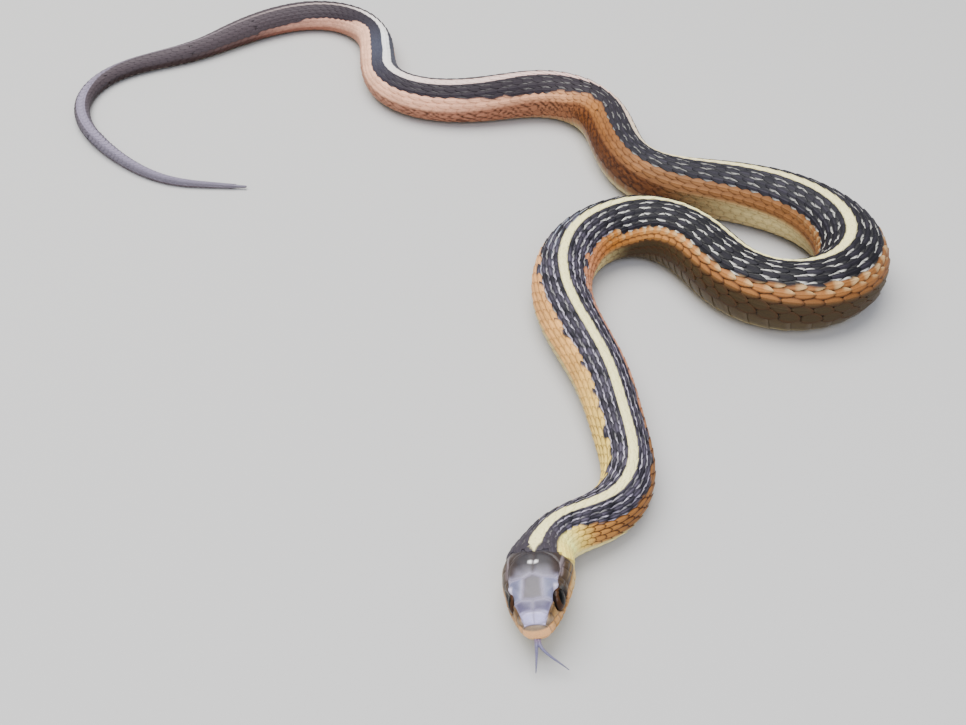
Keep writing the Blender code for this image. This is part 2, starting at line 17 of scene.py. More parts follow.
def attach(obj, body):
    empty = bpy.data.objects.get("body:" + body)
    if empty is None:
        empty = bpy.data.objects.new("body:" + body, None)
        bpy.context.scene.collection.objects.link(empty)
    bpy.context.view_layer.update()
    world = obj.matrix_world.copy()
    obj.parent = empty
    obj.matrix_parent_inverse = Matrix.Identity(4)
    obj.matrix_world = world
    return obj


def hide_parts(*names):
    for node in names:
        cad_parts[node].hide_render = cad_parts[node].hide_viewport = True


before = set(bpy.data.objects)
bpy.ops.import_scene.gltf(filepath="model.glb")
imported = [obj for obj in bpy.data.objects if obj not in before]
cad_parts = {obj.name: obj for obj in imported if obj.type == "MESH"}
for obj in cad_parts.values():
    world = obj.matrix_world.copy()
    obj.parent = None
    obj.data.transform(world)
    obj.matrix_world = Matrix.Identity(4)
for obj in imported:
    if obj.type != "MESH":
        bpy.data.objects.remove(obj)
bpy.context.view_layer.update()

bl_info = {
    "name": "Garter snake",
    "version": (1, 0, 0),
    "blender": (4, 5, 0),
    "location": "3D View > Sidebar > Snake",
    "description": "Skin, keeled scales, belly plates, eyes and tongue of a life-size garter snake",
    "category": "Object",
}

MM = 0.001
BODY = "root"

# The middle of the body seen from above, from the snout to the tip of the tail, in millimetres.
# x runs to the right in the camera's view and y away from it.
ROUTE = (
    (6.75, 97.5), (7.1, 104.5), (7.9, 111.0), (10.4, 115.2), (14.7, 117.8), (19.3, 121.7),
    (21.0, 127.7), (20.5, 134.5), (19.5, 142.5), (18.1, 149.6), (15.7, 157.2), (13.4, 166.5),
    (13.8, 175.0), (16.8, 182.2), (21.8, 187.0), (28.2, 188.5), (34.3, 185.7), (38.4, 180.0),
    (41.6, 173.4), (46.8, 168.3), (54.0, 167.2), (60.6, 170.6), (64.2, 177.2), (63.6, 185.6),
    (59.0, 192.8), (51.8, 197.8), (44.0, 200.8), (36.8, 202.8), (31.2, 206.2), (27.9, 212.0),
    (26.3, 219.4), (24.9, 227.8), (21.4, 235.0), (15.5, 238.9), (8.5, 239.2), (1.0, 237.6),
    (-6.5, 237.0), (-13.9, 238.9), (-19.6, 243.8), (-22.6, 251.0), (-23.7, 259.5), (-24.8, 267.5),
    (-28.2, 275.0), (-34.2, 280.0), (-42.0, 281.0), (-50.0, 277.8), (-58.0, 271.5), (-66.0, 264.4),
    (-74.0, 260.0), (-80.9, 255.4), (-85.1, 248.4), (-85.7, 240.0), (-82.3, 230.5), (-75.6, 221.5),
    (-67.2, 213.9), (-60.0, 210.3), (-53.0, 209.5), (-46.0, 209.0),
)

# The point of the route's coordinates that is the model's origin.
ROUTE_CENTRE = (-8.61, 189.32)
ROUTE_EASE = 3.0
ROUTE_STEP = 0.1

# Width of the body at stations behind the head.
GIRTH = (
    (15.2, 7.1), (24.0, 7.2), (34.0, 7.6), (46.0, 8.1), (58.0, 8.9), (70.0, 9.6), (84.0, 10.1),
    (96.0, 10.6), (107.0, 11.3), (122.0, 11.6), (150.0, 12.0), (175.0, 11.6), (195.0, 10.6),
    (214.0, 9.8), (240.0, 9.8), (258.0, 9.2), (272.0, 8.5), (284.0, 7.9), (300.0, 7.4),
    (316.0, 6.9), (332.0, 6.4), (343.0, 5.7), (354.0, 4.6), (366.0, 3.9), (380.0, 3.4),
    (392.0, 3.1), (404.0, 2.8), (414.0, 2.4), (424.0, 1.9), (433.0, 1.45), (443.0, 0.9),
)
BODY_HEIGHT = 0.97
BELLY_SINK = 0.9
LOWER_SQUARENESS = 2.2

# Sections of the head: station, half width, rise, drop and squareness.
HEAD = (
    (0.00, 0.00, 0.00, 0.00, 2.3), (0.12, 0.72, 0.95, 0.35, 2.3), (0.45, 1.42, 1.60, 0.72, 2.5),
    (1.00, 1.95, 2.12, 1.05, 2.8), (1.80, 2.42, 2.62, 1.35, 3.0), (3.00, 3.05, 3.15, 1.68, 3.1),
    (4.80, 3.70, 3.62, 2.00, 3.1), (6.40, 4.18, 3.88, 2.22, 2.8), (8.10, 4.58, 3.95, 2.42, 2.6),
    (9.80, 4.74, 3.92, 2.60, 2.5), (11.60, 4.66, 3.80, 2.76, 2.4), (13.40, 4.22, 3.62, 2.92, 2.2),
    (15.20, 3.72, 3.48, 3.15, 2.1), (18.00, 3.57, 3.46, 3.30, 2.0),
)
HEAD_LENGTH = 15.2
HEAD_HEIGHT = 4.3
NECK_DOWN_AT = 30.0
HEAD_ROLL = 12.5
ROLL_ENDS_AT = 36.0
LIP_LEVEL = -0.3
MOUTH_CORNER = 11.4
EYE_STATION = 4.55
EYE_LEVEL = 1.6
EYE_RADIUS = 1.5
EYE_DEPTH = 0.95
EYE_SINK = (0.3, 0.6)
PUPIL_LIFT = 0.22
PUPIL_BACK = -0.02
RING_SHARE = 0.42
ORBIT_DEPTH = 0.34
NOSTRIL_STATION = 1.15
NOSTRIL_LEVEL = 1.25

# Strands of the tongue from root to tip, in the route's coordinates and height over the floor.
LEFT_STRAND = (
    (6.98, 98.5, 3.95), (7.0, 97.6, 3.9), (7.1, 97.0, 3.4), (7.7, 96.5, 2.85), (8.8, 96.0, 2.1),
    (9.9, 95.55, 1.5), (10.8, 95.0, 1.1),
)
RIGHT_STRAND = (
    (6.6, 98.5, 3.95), (6.62, 97.6, 3.9), (6.68, 97.0, 3.4), (6.7, 96.2, 2.5), (6.66, 95.4, 1.7),
    (6.6, 94.5, 1.1),
)
STRAND_RADIUS = 0.25
STRAND_TAPER = 0.72
MELT_VOXEL = 0.05

# The camera's place over the floor, in the route's own coordinates, and its lens.
CAMERA_AT = (0.0, 0.0, 131.0)
CAMERA_PITCH = 40.0
CAMERA_LENS = 46.6

# Plates of the top of the head, each as station and distance from the middle. All but the frontal
# are drawn on the left and mirrored.
TOP_PLATES = (
    ((0.62, 0.0), (0.68, 0.8), (0.95, 1.4), (1.75, 1.75), (1.98, 0.9), (2.0, 0.0)),
    ((2.0, 0.0), (1.98, 0.9), (1.75, 1.75), (2.3, 2.15), (3.3, 2.45), (3.55, 1.45), (3.35, 0.0)),
    (
        (3.55, 1.45), (3.3, 2.45), (4.0, 2.85), (5.3, 3.15), (6.3, 3.15), (6.6, 2.75),
        (6.55, 1.25), (5.2, 1.28),
    ),
    (
        (7.25, 0.0), (6.55, 1.25), (6.6, 2.75), (7.2, 3.25), (8.2, 3.4), (9.2, 3.2),
        (10.2, 2.3), (10.9, 0.9), (10.75, 0.0),
    ),
)
FRONTAL = (
    (3.35, 0.0), (3.55, 1.45), (5.2, 1.28), (6.55, 1.25), (7.25, 0.0), (6.55, -1.25),
    (5.2, -1.28), (3.55, -1.45),
)

# Plates of the side of the head, as station and height over the widest level.
SIDE_PLATES = (
    ((0.9, 1.05), (1.95, 1.0), (2.0, 2.2), (1.3, 2.0), (0.85, 1.5)),
    ((2.0, 1.0), (2.9, 0.85), (3.0, 2.6), (2.05, 2.25)),
    ((6.1, 0.8), (6.9, 1.15), (6.95, 2.1), (6.1, 2.1)),
    ((6.1, 2.1), (6.95, 2.1), (7.0, 3.0), (6.3, 3.0)),
    ((6.9, 1.15), (8.75, 1.3), (8.8, 2.95), (7.0, 2.95)),
    ((8.75, 1.3), (10.5, 1.0), (10.6, 1.8), (8.8, 1.95)),
    ((8.8, 1.95), (10.6, 1.8), (10.2, 2.7), (8.8, 2.95)),
)
UPPER_LABIALS = (0.85, 1.75, 2.75, 3.85, 5.15, 6.8, 8.9, 11.0)
UPPER_LABIAL_TOPS = (
    (0.8, 1.05), (1.9, 1.0), (3.2, 0.75), (3.9, 0.3), (5.1, 0.25), (6.0, 0.65), (7.2, 1.15),
    (9.0, 1.25), (10.6, 0.9), (11.4, 0.3),
)
LOWER_LABIALS = (0.9, 1.8, 2.7, 3.7, 4.8, 6.1, 7.6, 9.3, 11.0)
LOWER_LABIAL_DROP = -1.2

# Scale rows: the last station of each stretch, its rows, and the arc that they cover.
SCALE_ROWS = (
    (222.0, 19, 252.0), (340.0, 17, 252.0), (356.0, 13, 256.0), (378.0, 9, 258.0),
    (404.0, 7, 260.0), (428.0, 5, 262.0), (449.0, 5, 262.0),
)
SCALE_PITCH = (
    (10.0, 0.9), (14.0, 1.15), (20.0, 1.6), (32.0, 1.95), (60.0, 2.2), (140.0, 2.4),
    (300.0, 2.15), (345.0, 1.85), (400.0, 1.35), (449.0, 0.85),
)
SCALE_START = ((0.0, 11.1), (25.0, 10.9), (50.0, 10.6), (75.0, 11.0), (95.0, 12.0), (126.0, 12.4))
SCALES_END = 440.5

# The coat's stretches: a name, and the stations where each starts and ends.
STRETCHES = (
    ("front", 0.0, 75.0), ("hook", 75.0, 130.0), ("loop", 130.0, 200.0), ("back", 200.0, 280.0),
    ("rear", 280.0, 1000.0),
)

# Belly plates: where they start, the angle of their outer edge, and the split under the tail.
SCUTE_START = 13.2
SCUTE_EDGE = 121.0
SCUTE_TAIL_INSET = 2.0
SCUTE_SPLIT = 0.4

# How far the skin lies under the coat, and how much thinner it turns at the tip of the tail.
SKIN_DEPTH = 0.13
TIP_TAPER = 0.2

# Heights and depths of the head's relief.
PLATE_RISE = 0.09
GROOVE_DEPTH = 0.05
MOUTH_DEPTH = 0.4
LIP_ROLL = 0.05
LIP_OFFSET = 0.3
EYE_RIM = 1.75
EYE_RIM_RISE = 0.09
EYE_SOCKET_DEPTH = 0.25
NOSTRIL_DEPTH = 0.4
NOSTRIL_HALF = (0.24, 0.19)
BROW_RISE = 0.15
BROW_ACROSS = 3.1

# How a scale lies: how deep its root sits, how far its tip lifts in degrees, and its stretch.
SCALE_SINK = 0.115
SCALE_LIFT = 3.4
SCALE_STRETCH = (0.62, 1.12)

# How far the back leans to the snake's right along the body, in degrees.
LEAN = (
    (0.0, 0.0), (10.5, 0.0), (14.0, 5.0), (18.0, 4.0), (23.0, -1.0), (30.0, -6.0),
    (38.0, -8.0), (50.0, -8.0), (62.0, -5.0), (76.0, -2.0), (84.0, 3.0), (92.0, 8.0),
    (99.0, 9.0), (105.0, 14.0), (111.0, 24.0), (120.0, 32.0), (132.0, 30.0), (162.0, 6.0),
    (194.0, -20.0), (210.0, -42.0), (224.0, -44.0), (230.0, -36.0), (236.0, -17.0),
    (245.0, -7.0), (264.0, 3.0), (272.0, 0.0), (281.0, -11.0), (290.0, -31.0), (300.0, -31.0),
    (309.0, -12.0), (318.0, 3.0), (328.0, 10.0), (350.0, 2.0), (370.0, -10.0), (390.0, -4.0),
    (449.0, 0.0),
)
HEAD_SKIN_END = 11.6

# Width of a scale along its length, and its greatest half width over the spacing of the rows.
LEAF_ALONG = (0.0, 0.12, 0.28, 0.46, 0.64, 0.8, 0.92, 1.0)
LEAF_WIDTH = (0.6, 0.82, 0.97, 1.0, 0.88, 0.62, 0.34, 0.0)
LEAF_REACH = 0.64
LEAF_SPREAD = 1.25
LEAF_BACK = 0.25

# The skin's grid: points round a ring, and the steps between rings.
RING_COUNT = 224
HEAD_RING_STEP = 0.095
BODY_RING_STEP = 1.6

# The unwrap: strips of the body side by side, and the size of a scale's patch on it.
UNWRAP_STRIPS = 4
PATCH = 0.003
SEED = 11


def linear(value):
    """One sRGB channel from 0 to 1 as scene-linear."""
    return value / 12.92 if value <= 0.04045 else ((value + 0.055) / 1.055) ** 2.4


def colour(code):
    """A hex colour such as f3edc3 as linear red, green and blue."""
    return tuple(linear(int(code[i : i + 2], 16) / 255.0) for i in (0, 2, 4))


def tint(name, description, code):
    """A colour property whose default is a hex colour."""
    return FloatVectorProperty(
        name=name, description=description, default=colour(code), subtype="COLOR", min=0.0, max=1.0
    )


class SnakeSizes(bpy.types.PropertyGroup):
    """Sizes that shape the coat."""

    overlap: FloatProperty(
        name="Overlap", description="Length of a scale over the pitch of its row",
        default=1.42, min=1.0, max=2.0, subtype="FACTOR",
    )
    breadth: FloatProperty(
        name="Breadth", description="Width of a scale over the spacing of the rows",
        default=1.02, min=0.6, max=1.4, subtype="FACTOR",
    )
    thickness: FloatProperty(
        name="Thickness", description="Height of a scale's crown over its rim",
        default=0.00011, min=0.0, max=0.0005, unit="LENGTH",
    )
    jitter: FloatProperty(
        name="Jitter", description="Random share by which scales differ in size",
        default=0.05, min=0.0, max=0.3, subtype="FACTOR",
    )
    seed: IntProperty(name="Seed", description="Seed of the scales' differences", default=SEED)
    stripe: FloatProperty(
        name="Stripe", description="Half width of the stripe along the back",
        default=0.00078, min=0.0, max=0.003, unit="LENGTH",
    )
    suture: FloatProperty(
        name="Suture", description="Half width of the grooves between the plates of the head",
        default=0.00009, min=0.0, max=0.0005, unit="LENGTH",
    )


class SnakeColours(bpy.types.PropertyGroup):
    """Colours of the markings, and of the painted sheen along the keels of the dark scales."""

    stripe: tint("Back stripe", "Cream stripe along the back", "fcf0aa")
    dark: tint("Dark band", "Black-brown bands beside the stripe", "17161a")
    # The band sheen is a painted highlight: a lighter purple-grey along the keel of each dark scale.
    sheen: tint("Band sheen", "Purple-grey crown of the dark scales", "57505e")
    fleck: tint("Flecks", "White skin between the dark scales", "f0ece0")
    belly: tint("Belly", "Pale belly plates", "d4be80")
    tongue: tint("Tongue", "Grey-violet of the tongue", "6f6a86")
    floor: tint("Floor", "Plain pale floor", "b9b7b3")


def natural_spline(points, step):
    """Points a step apart on the smooth curve through the given ones."""
    spans = np.hypot(*np.diff(points, axis=0).T)
    knots = np.concatenate([[0.0], np.cumsum(spans)])
    count = len(points)
    system, bends = np.eye(count), np.zeros_like(points)
    for i in range(1, count - 1):
        before, after = spans[i - 1], spans[i]
        system[i, i - 1 : i + 2] = before, 2.0 * (before + after), after
        rise = (points[i + 1] - points[i]) / after - (points[i] - points[i - 1]) / before
        bends[i] = 6.0 * rise
    second = np.linalg.solve(system, bends)
    at = np.arange(0.0, knots[-1], step)
    i = np.clip(np.searchsorted(knots, at, side="right") - 1, 0, count - 2)
    span = spans[i][:, None]
    left = (knots[i + 1] - at)[:, None] / span
    right = 1.0 - left
    curve = left * points[i] + right * points[i + 1]
    curve += ((left**3 - left) * second[i] + (right**3 - right) * second[i + 1]) * span**2 / 6.0
    return curve


def eased(curve, reach, step):
    """The curve with its sharpest bends relaxed by two running means."""
    half = int(reach / step)
    for _ in range(2):
        before = curve[0] - (curve[1] - curve[0]) * np.arange(half, 0, -1)[:, None]
        after = curve[-1] + (curve[-1] - curve[-2]) * np.arange(1, half + 1)[:, None]
        longer = np.concatenate([before, curve, after])
        sums = np.cumsum(np.concatenate([np.zeros((1, 2)), longer]), axis=0)
        curve = (sums[2 * half + 1 :] - sums[: -2 * half - 1]) / (2 * half + 1)
    return curve


def build_route():
    """The route's points, their stations and the unit vectors to the snake's left."""
    points = np.array(ROUTE, float) - ROUTE_CENTRE
    curve = eased(natural_spline(points, ROUTE_STEP), ROUTE_EASE, ROUTE_STEP)
    stations = np.concatenate([[0.0], np.cumsum(np.hypot(*np.diff(curve, axis=0).T))])
    along = np.gradient(curve, axis=0)
    along /= np.linalg.norm(along, axis=1)[:, None]
    left = np.stack([along[:, 1], -along[:, 0]], axis=1)
    return curve, stations, left


CURVE, STATIONS, LEFT = build_route()
BODY_LENGTH = float(STATIONS[-1])


def smooth(at, table, column=1):
    """A table's column read at stations, by a curve that never overshoots its values."""
    rows = np.array(table, float)
    x, y = rows[:, 0], rows[:, column]
    slopes = np.diff(y) / np.diff(x)
    turns = slopes[:-1] * slopes[1:] <= 0.0
    sums = np.where(turns, 1.0, slopes[:-1] + slopes[1:])
    inner = np.where(turns, 0.0, 2.0 * slopes[:-1] * slopes[1:] / sums)
    tangents = np.concatenate([slopes[:1], inner, slopes[-1:]])
    at = np.clip(at, x[0], x[-1])
    i = np.clip(np.searchsorted(x, at, side="right") - 1, 0, len(x) - 2)
    span = x[i + 1] - x[i]
    u = (at - x[i]) / span
    return (
        y[i] * (1.0 + 2.0 * u) * (1.0 - u) ** 2
        + tangents[i] * span * u * (1.0 - u) ** 2
        + y[i + 1] * u * u * (3.0 - 2.0 * u)
        + tangents[i + 1] * span * u * u * (u - 1.0)
    )


def blend(at, start, end):
    """0 up to start, 1 from end, and an even turn between them."""
    u = np.clip((at - start) / (end - start), 0.0, 1.0)
    return u * u * (3.0 - 2.0 * u)


def section_sizes(station):
    """Half width, rise, drop and squareness of the section at a station."""
    half = smooth(station, GIRTH) / 2.0
    body = (half, half * BODY_HEIGHT, half * BODY_HEIGHT, np.full_like(half, 2.0))
    head = [smooth(station, HEAD, column) for column in (1, 2, 3, 4)]
    on_body = station >= HEAD[-1][0]
    return [np.where(on_body, b, h) for b, h in zip(body, head)]


def centre_height(station):
    """Height of the section's centre over the floor: the head is raised and the body rests."""
    resting = smooth(station, GIRTH) / 2.0 * BELLY_SINK
    down = blend(station, HEAD_LENGTH * 0.7, NECK_DOWN_AT)
    return HEAD_HEIGHT + (resting - HEAD_HEIGHT) * down


def local_section(station, angle):
    """Offsets to the left and up from the section's centre, before the head's roll."""
    half, rise, drop, square = section_sizes(station)
    sine, cosine = np.sin(np.radians(angle)), np.cos(np.radians(angle))
    upper = cosine >= 0.0
    power = 2.0 / np.where(upper, square, LOWER_SQUARENESS)
    across = half * np.sign(sine) * np.abs(sine) ** power
    up = np.where(upper, rise, drop) * np.sign(cosine) * np.abs(cosine) ** power
    orbit = ((station - EYE_STATION) / 2.1) ** 2 + ((up - EYE_LEVEL + 0.2) / 0.9) ** 2
    return across - ORBIT_DEPTH * np.exp(-orbit) * np.sign(sine), up


def to_world(station, across, up, floor):
    """Section offsets turned by the roll, put on the route and kept off the floor."""
    roll = np.radians(HEAD_ROLL) * (1.0 - blend(station, HEAD_LENGTH, ROLL_ENDS_AT))
    side = across * np.cos(roll) - up * np.sin(roll)
    height = across * np.sin(roll) + up * np.cos(roll) + centre_height(station)
    x = np.interp(station, STATIONS, CURVE[:, 0]) + side * np.interp(station, STATIONS, LEFT[:, 0])
    y = np.interp(station, STATIONS, CURVE[:, 1]) + side * np.interp(station, STATIONS, LEFT[:, 1])
    return np.stack([x, y, np.maximum(height, floor)], axis=-1)


def skin_point(station, angle, proud=0.0):
    """A point of the skin, or one that stands proud of it by a distance, in millimetres."""
    station, angle, proud = np.broadcast_arrays(
        np.asarray(station, float), np.asarray(angle, float), np.asarray(proud, float)
    )
    across, up = local_section(station, angle)
    ahead = local_section(station, angle + 2.0)
    behind = local_section(station, angle - 2.0)
    run, lift = ahead[0] - behind[0], ahead[1] - behind[1]
    length = np.maximum(np.hypot(run, lift), 1e-6)
    floor = np.maximum(-proud, 0.0)
    return to_world(station, across - proud * lift / length, up + proud * run / length, floor)


def angle_at_side(station, level):
    """The section angle where the skin is this far over the widest level."""
    _, rise, drop, square = section_sizes(np.asarray(station, float))
    share = np.clip(np.abs(level) / np.where(level >= 0.0, rise, drop), 0.0, 1.0)
    power = np.where(level >= 0.0, square, LOWER_SQUARENESS) / 2.0
    turn = np.degrees(np.arccos(share**power))
    return np.where(level >= 0.0, turn, 180.0 - turn)


def angle_at_top(station, across):
    """The section angle where the skin is this far from the middle, seen from above."""
    half, _, _, square = section_sizes(np.asarray(station, float))
    share = np.clip(np.abs(across) / half, 0.0, 1.0)
    return np.degrees(np.arcsin(share ** (square / 2.0))) * np.sign(across)


def lean(station):
    """The angle by which the back is turned from straight up, to add to a section's angle."""
    return smooth(station, LEAN)


def side_frame(station, level, side):
    """A point on the side of the head, and the unit vectors out of it and forward along it."""
    angle = float(angle_at_side(station, level)) * side
    here = skin_point(station, angle)
    out = skin_point(station, angle, 1.0) - here
    forward = skin_point(station - 0.5, angle) - skin_point(station + 0.5, angle)
    forward -= out * np.dot(forward, out) / np.dot(out, out)
    return here, out / np.linalg.norm(out), forward / np.linalg.norm(forward)


def wave_noise(*values, seed=0):
    """A smooth value from -1 to 1 made of a few sines, the same in every run."""
    draw = np.random.default_rng(seed)
    total = 0.0
    for _ in range(4):
        phase = draw.uniform(0.0, 2.0 * math.pi)
        total = total + np.sin(sum(v * draw.uniform(0.6, 1.9) for v in values) + phase)
    return total / 4.0


def mix(base, other, share):
    """Blends one colour into another by a share for each point."""
    share = np.clip(np.asarray(share, float), 0.0, 1.0)[..., None]
    return base * (1.0 - share) + np.asarray(other, float) * share


# The flank's colour along the body. The rear is alike on both sides.
FLANK_REAR = (
    # The browns at 214 and 226 are darkened as painted shade on the steep side that turns down there.
    (214.0, "7c4e26"), (226.0, "9a6432"), (240.0, "dc9e70"), (262.0, "f8b692"), (285.0, "f0b896"),
    (300.0, "f2bc9c"), (318.0, "e0a58a"), (332.0, "c08c78"), (342.0, "6e524c"), (356.0, "4c4042"),
    (375.0, "3e373c"), (388.0, "453f47"), (402.0, "645e6a"), (420.0, "7a7480"), (449.0, "837d88"),
)
FLANK_LEFT = (
    (12.0, "ffe274"), (16.0, "fff28c"), (19.0, "f8d264"), (22.0, "bc8240"), (27.0, "905e2e"),
    (40.0, "926234"), (48.0, "c88660"), (70.0, "d09274"), (84.0, "c8845a"), (95.0, "b8732f"),
    (108.0, "c88846"), (125.0, "a86e3a"), (150.0, "8c5a2e"), (200.0, "845630"),
) + FLANK_REAR
FLANK_RIGHT = (
    (12.0, "e4b863"), (22.0, "f4d268"), (40.0, "eec862"), (58.0, "e6ac5c"), (80.0, "e2a060"),
    (96.0, "f2c294"), (108.0, "d8a070"), (125.0, "ad7238"), (150.0, "84552c"), (200.0, "8c5f38"),
) + FLANK_REAR

# The angle at which the dark band ends, and the one at which the flank's stripe ends.
BAND_EDGE = (
    (11.0, 38.0), (16.0, 42.0), (22.0, 52.0), (28.0, 57.0), (40.0, 52.0), (60.0, 48.0),
    (76.0, 52.0), (84.0, 54.0), (92.0, 62.0), (100.0, 68.0), (108.0, 70.0), (124.0, 70.0),
    (140.0, 66.0), (200.0, 60.0), (236.0, 60.0), (245.0, 64.0), (262.0, 57.0), (280.0, 54.0),
    (302.0, 55.0), (318.0, 68.0), (334.0, 78.0), (352.0, 90.0), (449.0, 90.0),
)
FLANK_EDGE = (
    (12.0, 98.0), (20.0, 108.0), (44.0, 106.0), (60.0, 98.0), (84.0, 96.0), (100.0, 96.0),
    (112.0, 94.0), (130.0, 92.0), (225.0, 90.0), (245.0, 82.0), (266.0, 88.0), (300.0, 100.0),
    (449.0, 104.0),
)

# How many of the dark scales show white skin at their sides.
FLECKS = (
    (12.0, 0.1), (30.0, 0.25), (45.0, 0.2), (80.0, 0.35), (96.0, 0.85), (104.0, 1.0), (128.0, 1.0),
    (150.0, 0.8), (200.0, 0.35), (226.0, 0.25), (260.0, 0.08), (320.0, 0.0), (449.0, 0.0),
)

# Half width of the stripe over its size in the panel, along the body.
STRIPE = (
    (10.8, 0.0), (11.8, 0.25), (12.6, 0.65), (13.8, 0.88), (16.0, 0.92), (24.0, 0.85), (60.0, 0.92),
    (84.0, 0.86), (96.0, 1.0), (200.0, 1.1), (240.0, 1.25), (300.0, 1.15), (310.0, 0.7), (322.0, 0.4),
    (368.0, 0.35), (388.0, 1.15), (404.0, 1.05), (424.0, 0.75), (449.0, 0.35),
)

# How strongly the scales of the flank are outlined in brown.
OUTLINES = (
    (12.0, 0.1), (17.0, 0.25), (20.0, 0.8), (23.0, 1.0), (42.0, 0.95), (50.0, 0.6), (90.0, 0.6),
    (99.0, 0.85), (130.0, 0.85), (160.0, 0.5), (200.0, 0.5), (240.0, 0.35), (300.0, 0.15),
    (449.0, 0.1),
)

# The colour of the back's stripe from the middle of the body to the tip of the tail.
STRIPE_REAR = (
    # The near white from 281 to 308, on the bend, is the cream stripe with a painted highlight on it.
    (150.0, "e8dca0"), (205.0, "d8c4a8"), (240.0, "e4c0b4"), (266.0, "e6cabc"), (281.0, "ece4dc"),
    (296.0, "f6f6f3"), (308.0, "ece2da"), (318.0, "a89690"), (345.0, "6e6264"), (368.0, "6a6068"),
    (388.0, "8a8192"), (449.0, "6f6876"),
)


def table_colour(station, table):
    """A linear colour read along the body from a table of hex codes."""
    rows = np.array([colour(code) for _, code in table])
    at = [row[0] for row in table]
    return np.stack([np.interp(station, at, rows[:, i]) for i in range(3)], axis=-1)


def flank_colour(station, side_left):
    """The colour of the stripe along the flank, read from its table for each side."""
    left, right = table_colour(station, FLANK_LEFT), table_colour(station, FLANK_RIGHT)
    return np.where(side_left[..., None], left, right)


# Where the top of the hooked curve starts and ends: stations of each gradual turn.
ARCH_STARTS = (88.0, 102.0)
ARCH_ENDS = (148.0, 176.0)


def arch_share(station):
    """1 along the top of the hooked curve and 0 well before and after it."""
    return blend(station, *ARCH_STARTS) * (1.0 - blend(station, *ARCH_ENDS))


def dark_marking(station, row, draw, across, along, flecked, tints):
    """The dark band: a painted sheen along each keel and a broken pale net, partly painted highlight, over
    the front, painted glints and a painted sky reflection further back, and black with white flecks round the
    curve.
    """
    off = np.abs(across)
    # The one side of each scale that is taken as lit, for a painted highlight on it.
    lit = np.where(across > 0.0, draw, 1.0 - draw)
    front = blend(station, 13.0, 20.0) * (1.0 - blend(station, 86.0, 102.0))
    arch = arch_share(station)
    dark = np.broadcast_to(np.array(tints.dark), station.shape + (3,))
    dark = mix(dark, colour("3a3439"), 0.8 * (1.0 - blend(station, 14.0, 19.0)))
    # Painted highlight: the band sheen along each scale's keel.
    keel = np.exp(-((across / 0.24) ** 2)) * (1.0 - blend(along, 0.7, 0.95))
    dark = mix(dark, tints.sheen, (0.18 + 0.6 * keel) * (0.3 + 0.7 * front) * (0.5 + 0.9 * draw))
    patchy = wave_noise(station * 1.3, row * 0.11, seed=5)
    dark = mix(dark, colour("08080d"), 0.75 * front * blend(patchy, -0.1, 0.4))
    # The pale net is partly the pale skin at the scales' sides and partly a painted highlight on their lit
    # side.
    net = blend(off, 0.56, 0.84) * (1.0 - blend(along, 0.4, 0.62))
    dark = mix(dark, colour("d2c6da"), net * front * (0.1 + 0.9 * blend(lit, 0.3, 0.75)))
    # Painted glints: pale blue reflections of the sky on the snake's right side about station 95.
    glint = np.exp(-(((station - 95.0) / 9.0) ** 2)) * (row < 0.0) * blend(lit, 0.4, 0.8)
    dark = mix(dark, colour("b4c0d2"), 0.6 * glint * blend(off, 0.2, 0.6) * (1.0 - blend(along, 0.6, 0.85)))
    dark = mix(dark, colour("070609"), 0.6 * arch * (1.0 - 0.6 * flecked))
    dark = mix(dark, colour("2c2429"), 0.75 * blend(station, 205.0, 240.0))
    # Painted reflection: a blue-grey sky reflection on the bend about station 291.
    dark = mix(dark, colour("4e5262"), 0.5 * np.exp(-(((station - 291.0) / 11.0) ** 2)))
    dark = mix(dark, colour("51474a"), 0.8 * blend(station, 302.0, 345.0))
    dark = mix(dark, colour("6c6671"), 0.85 * blend(station, 384.0, 412.0))
    dash = blend(off, 0.52, 0.78) * (1.0 - blend(along, 0.4, 0.54))
    return mix(dark, tints.fleck, dash * smooth(station, FLECKS) * (0.05 + 0.95 * flecked))


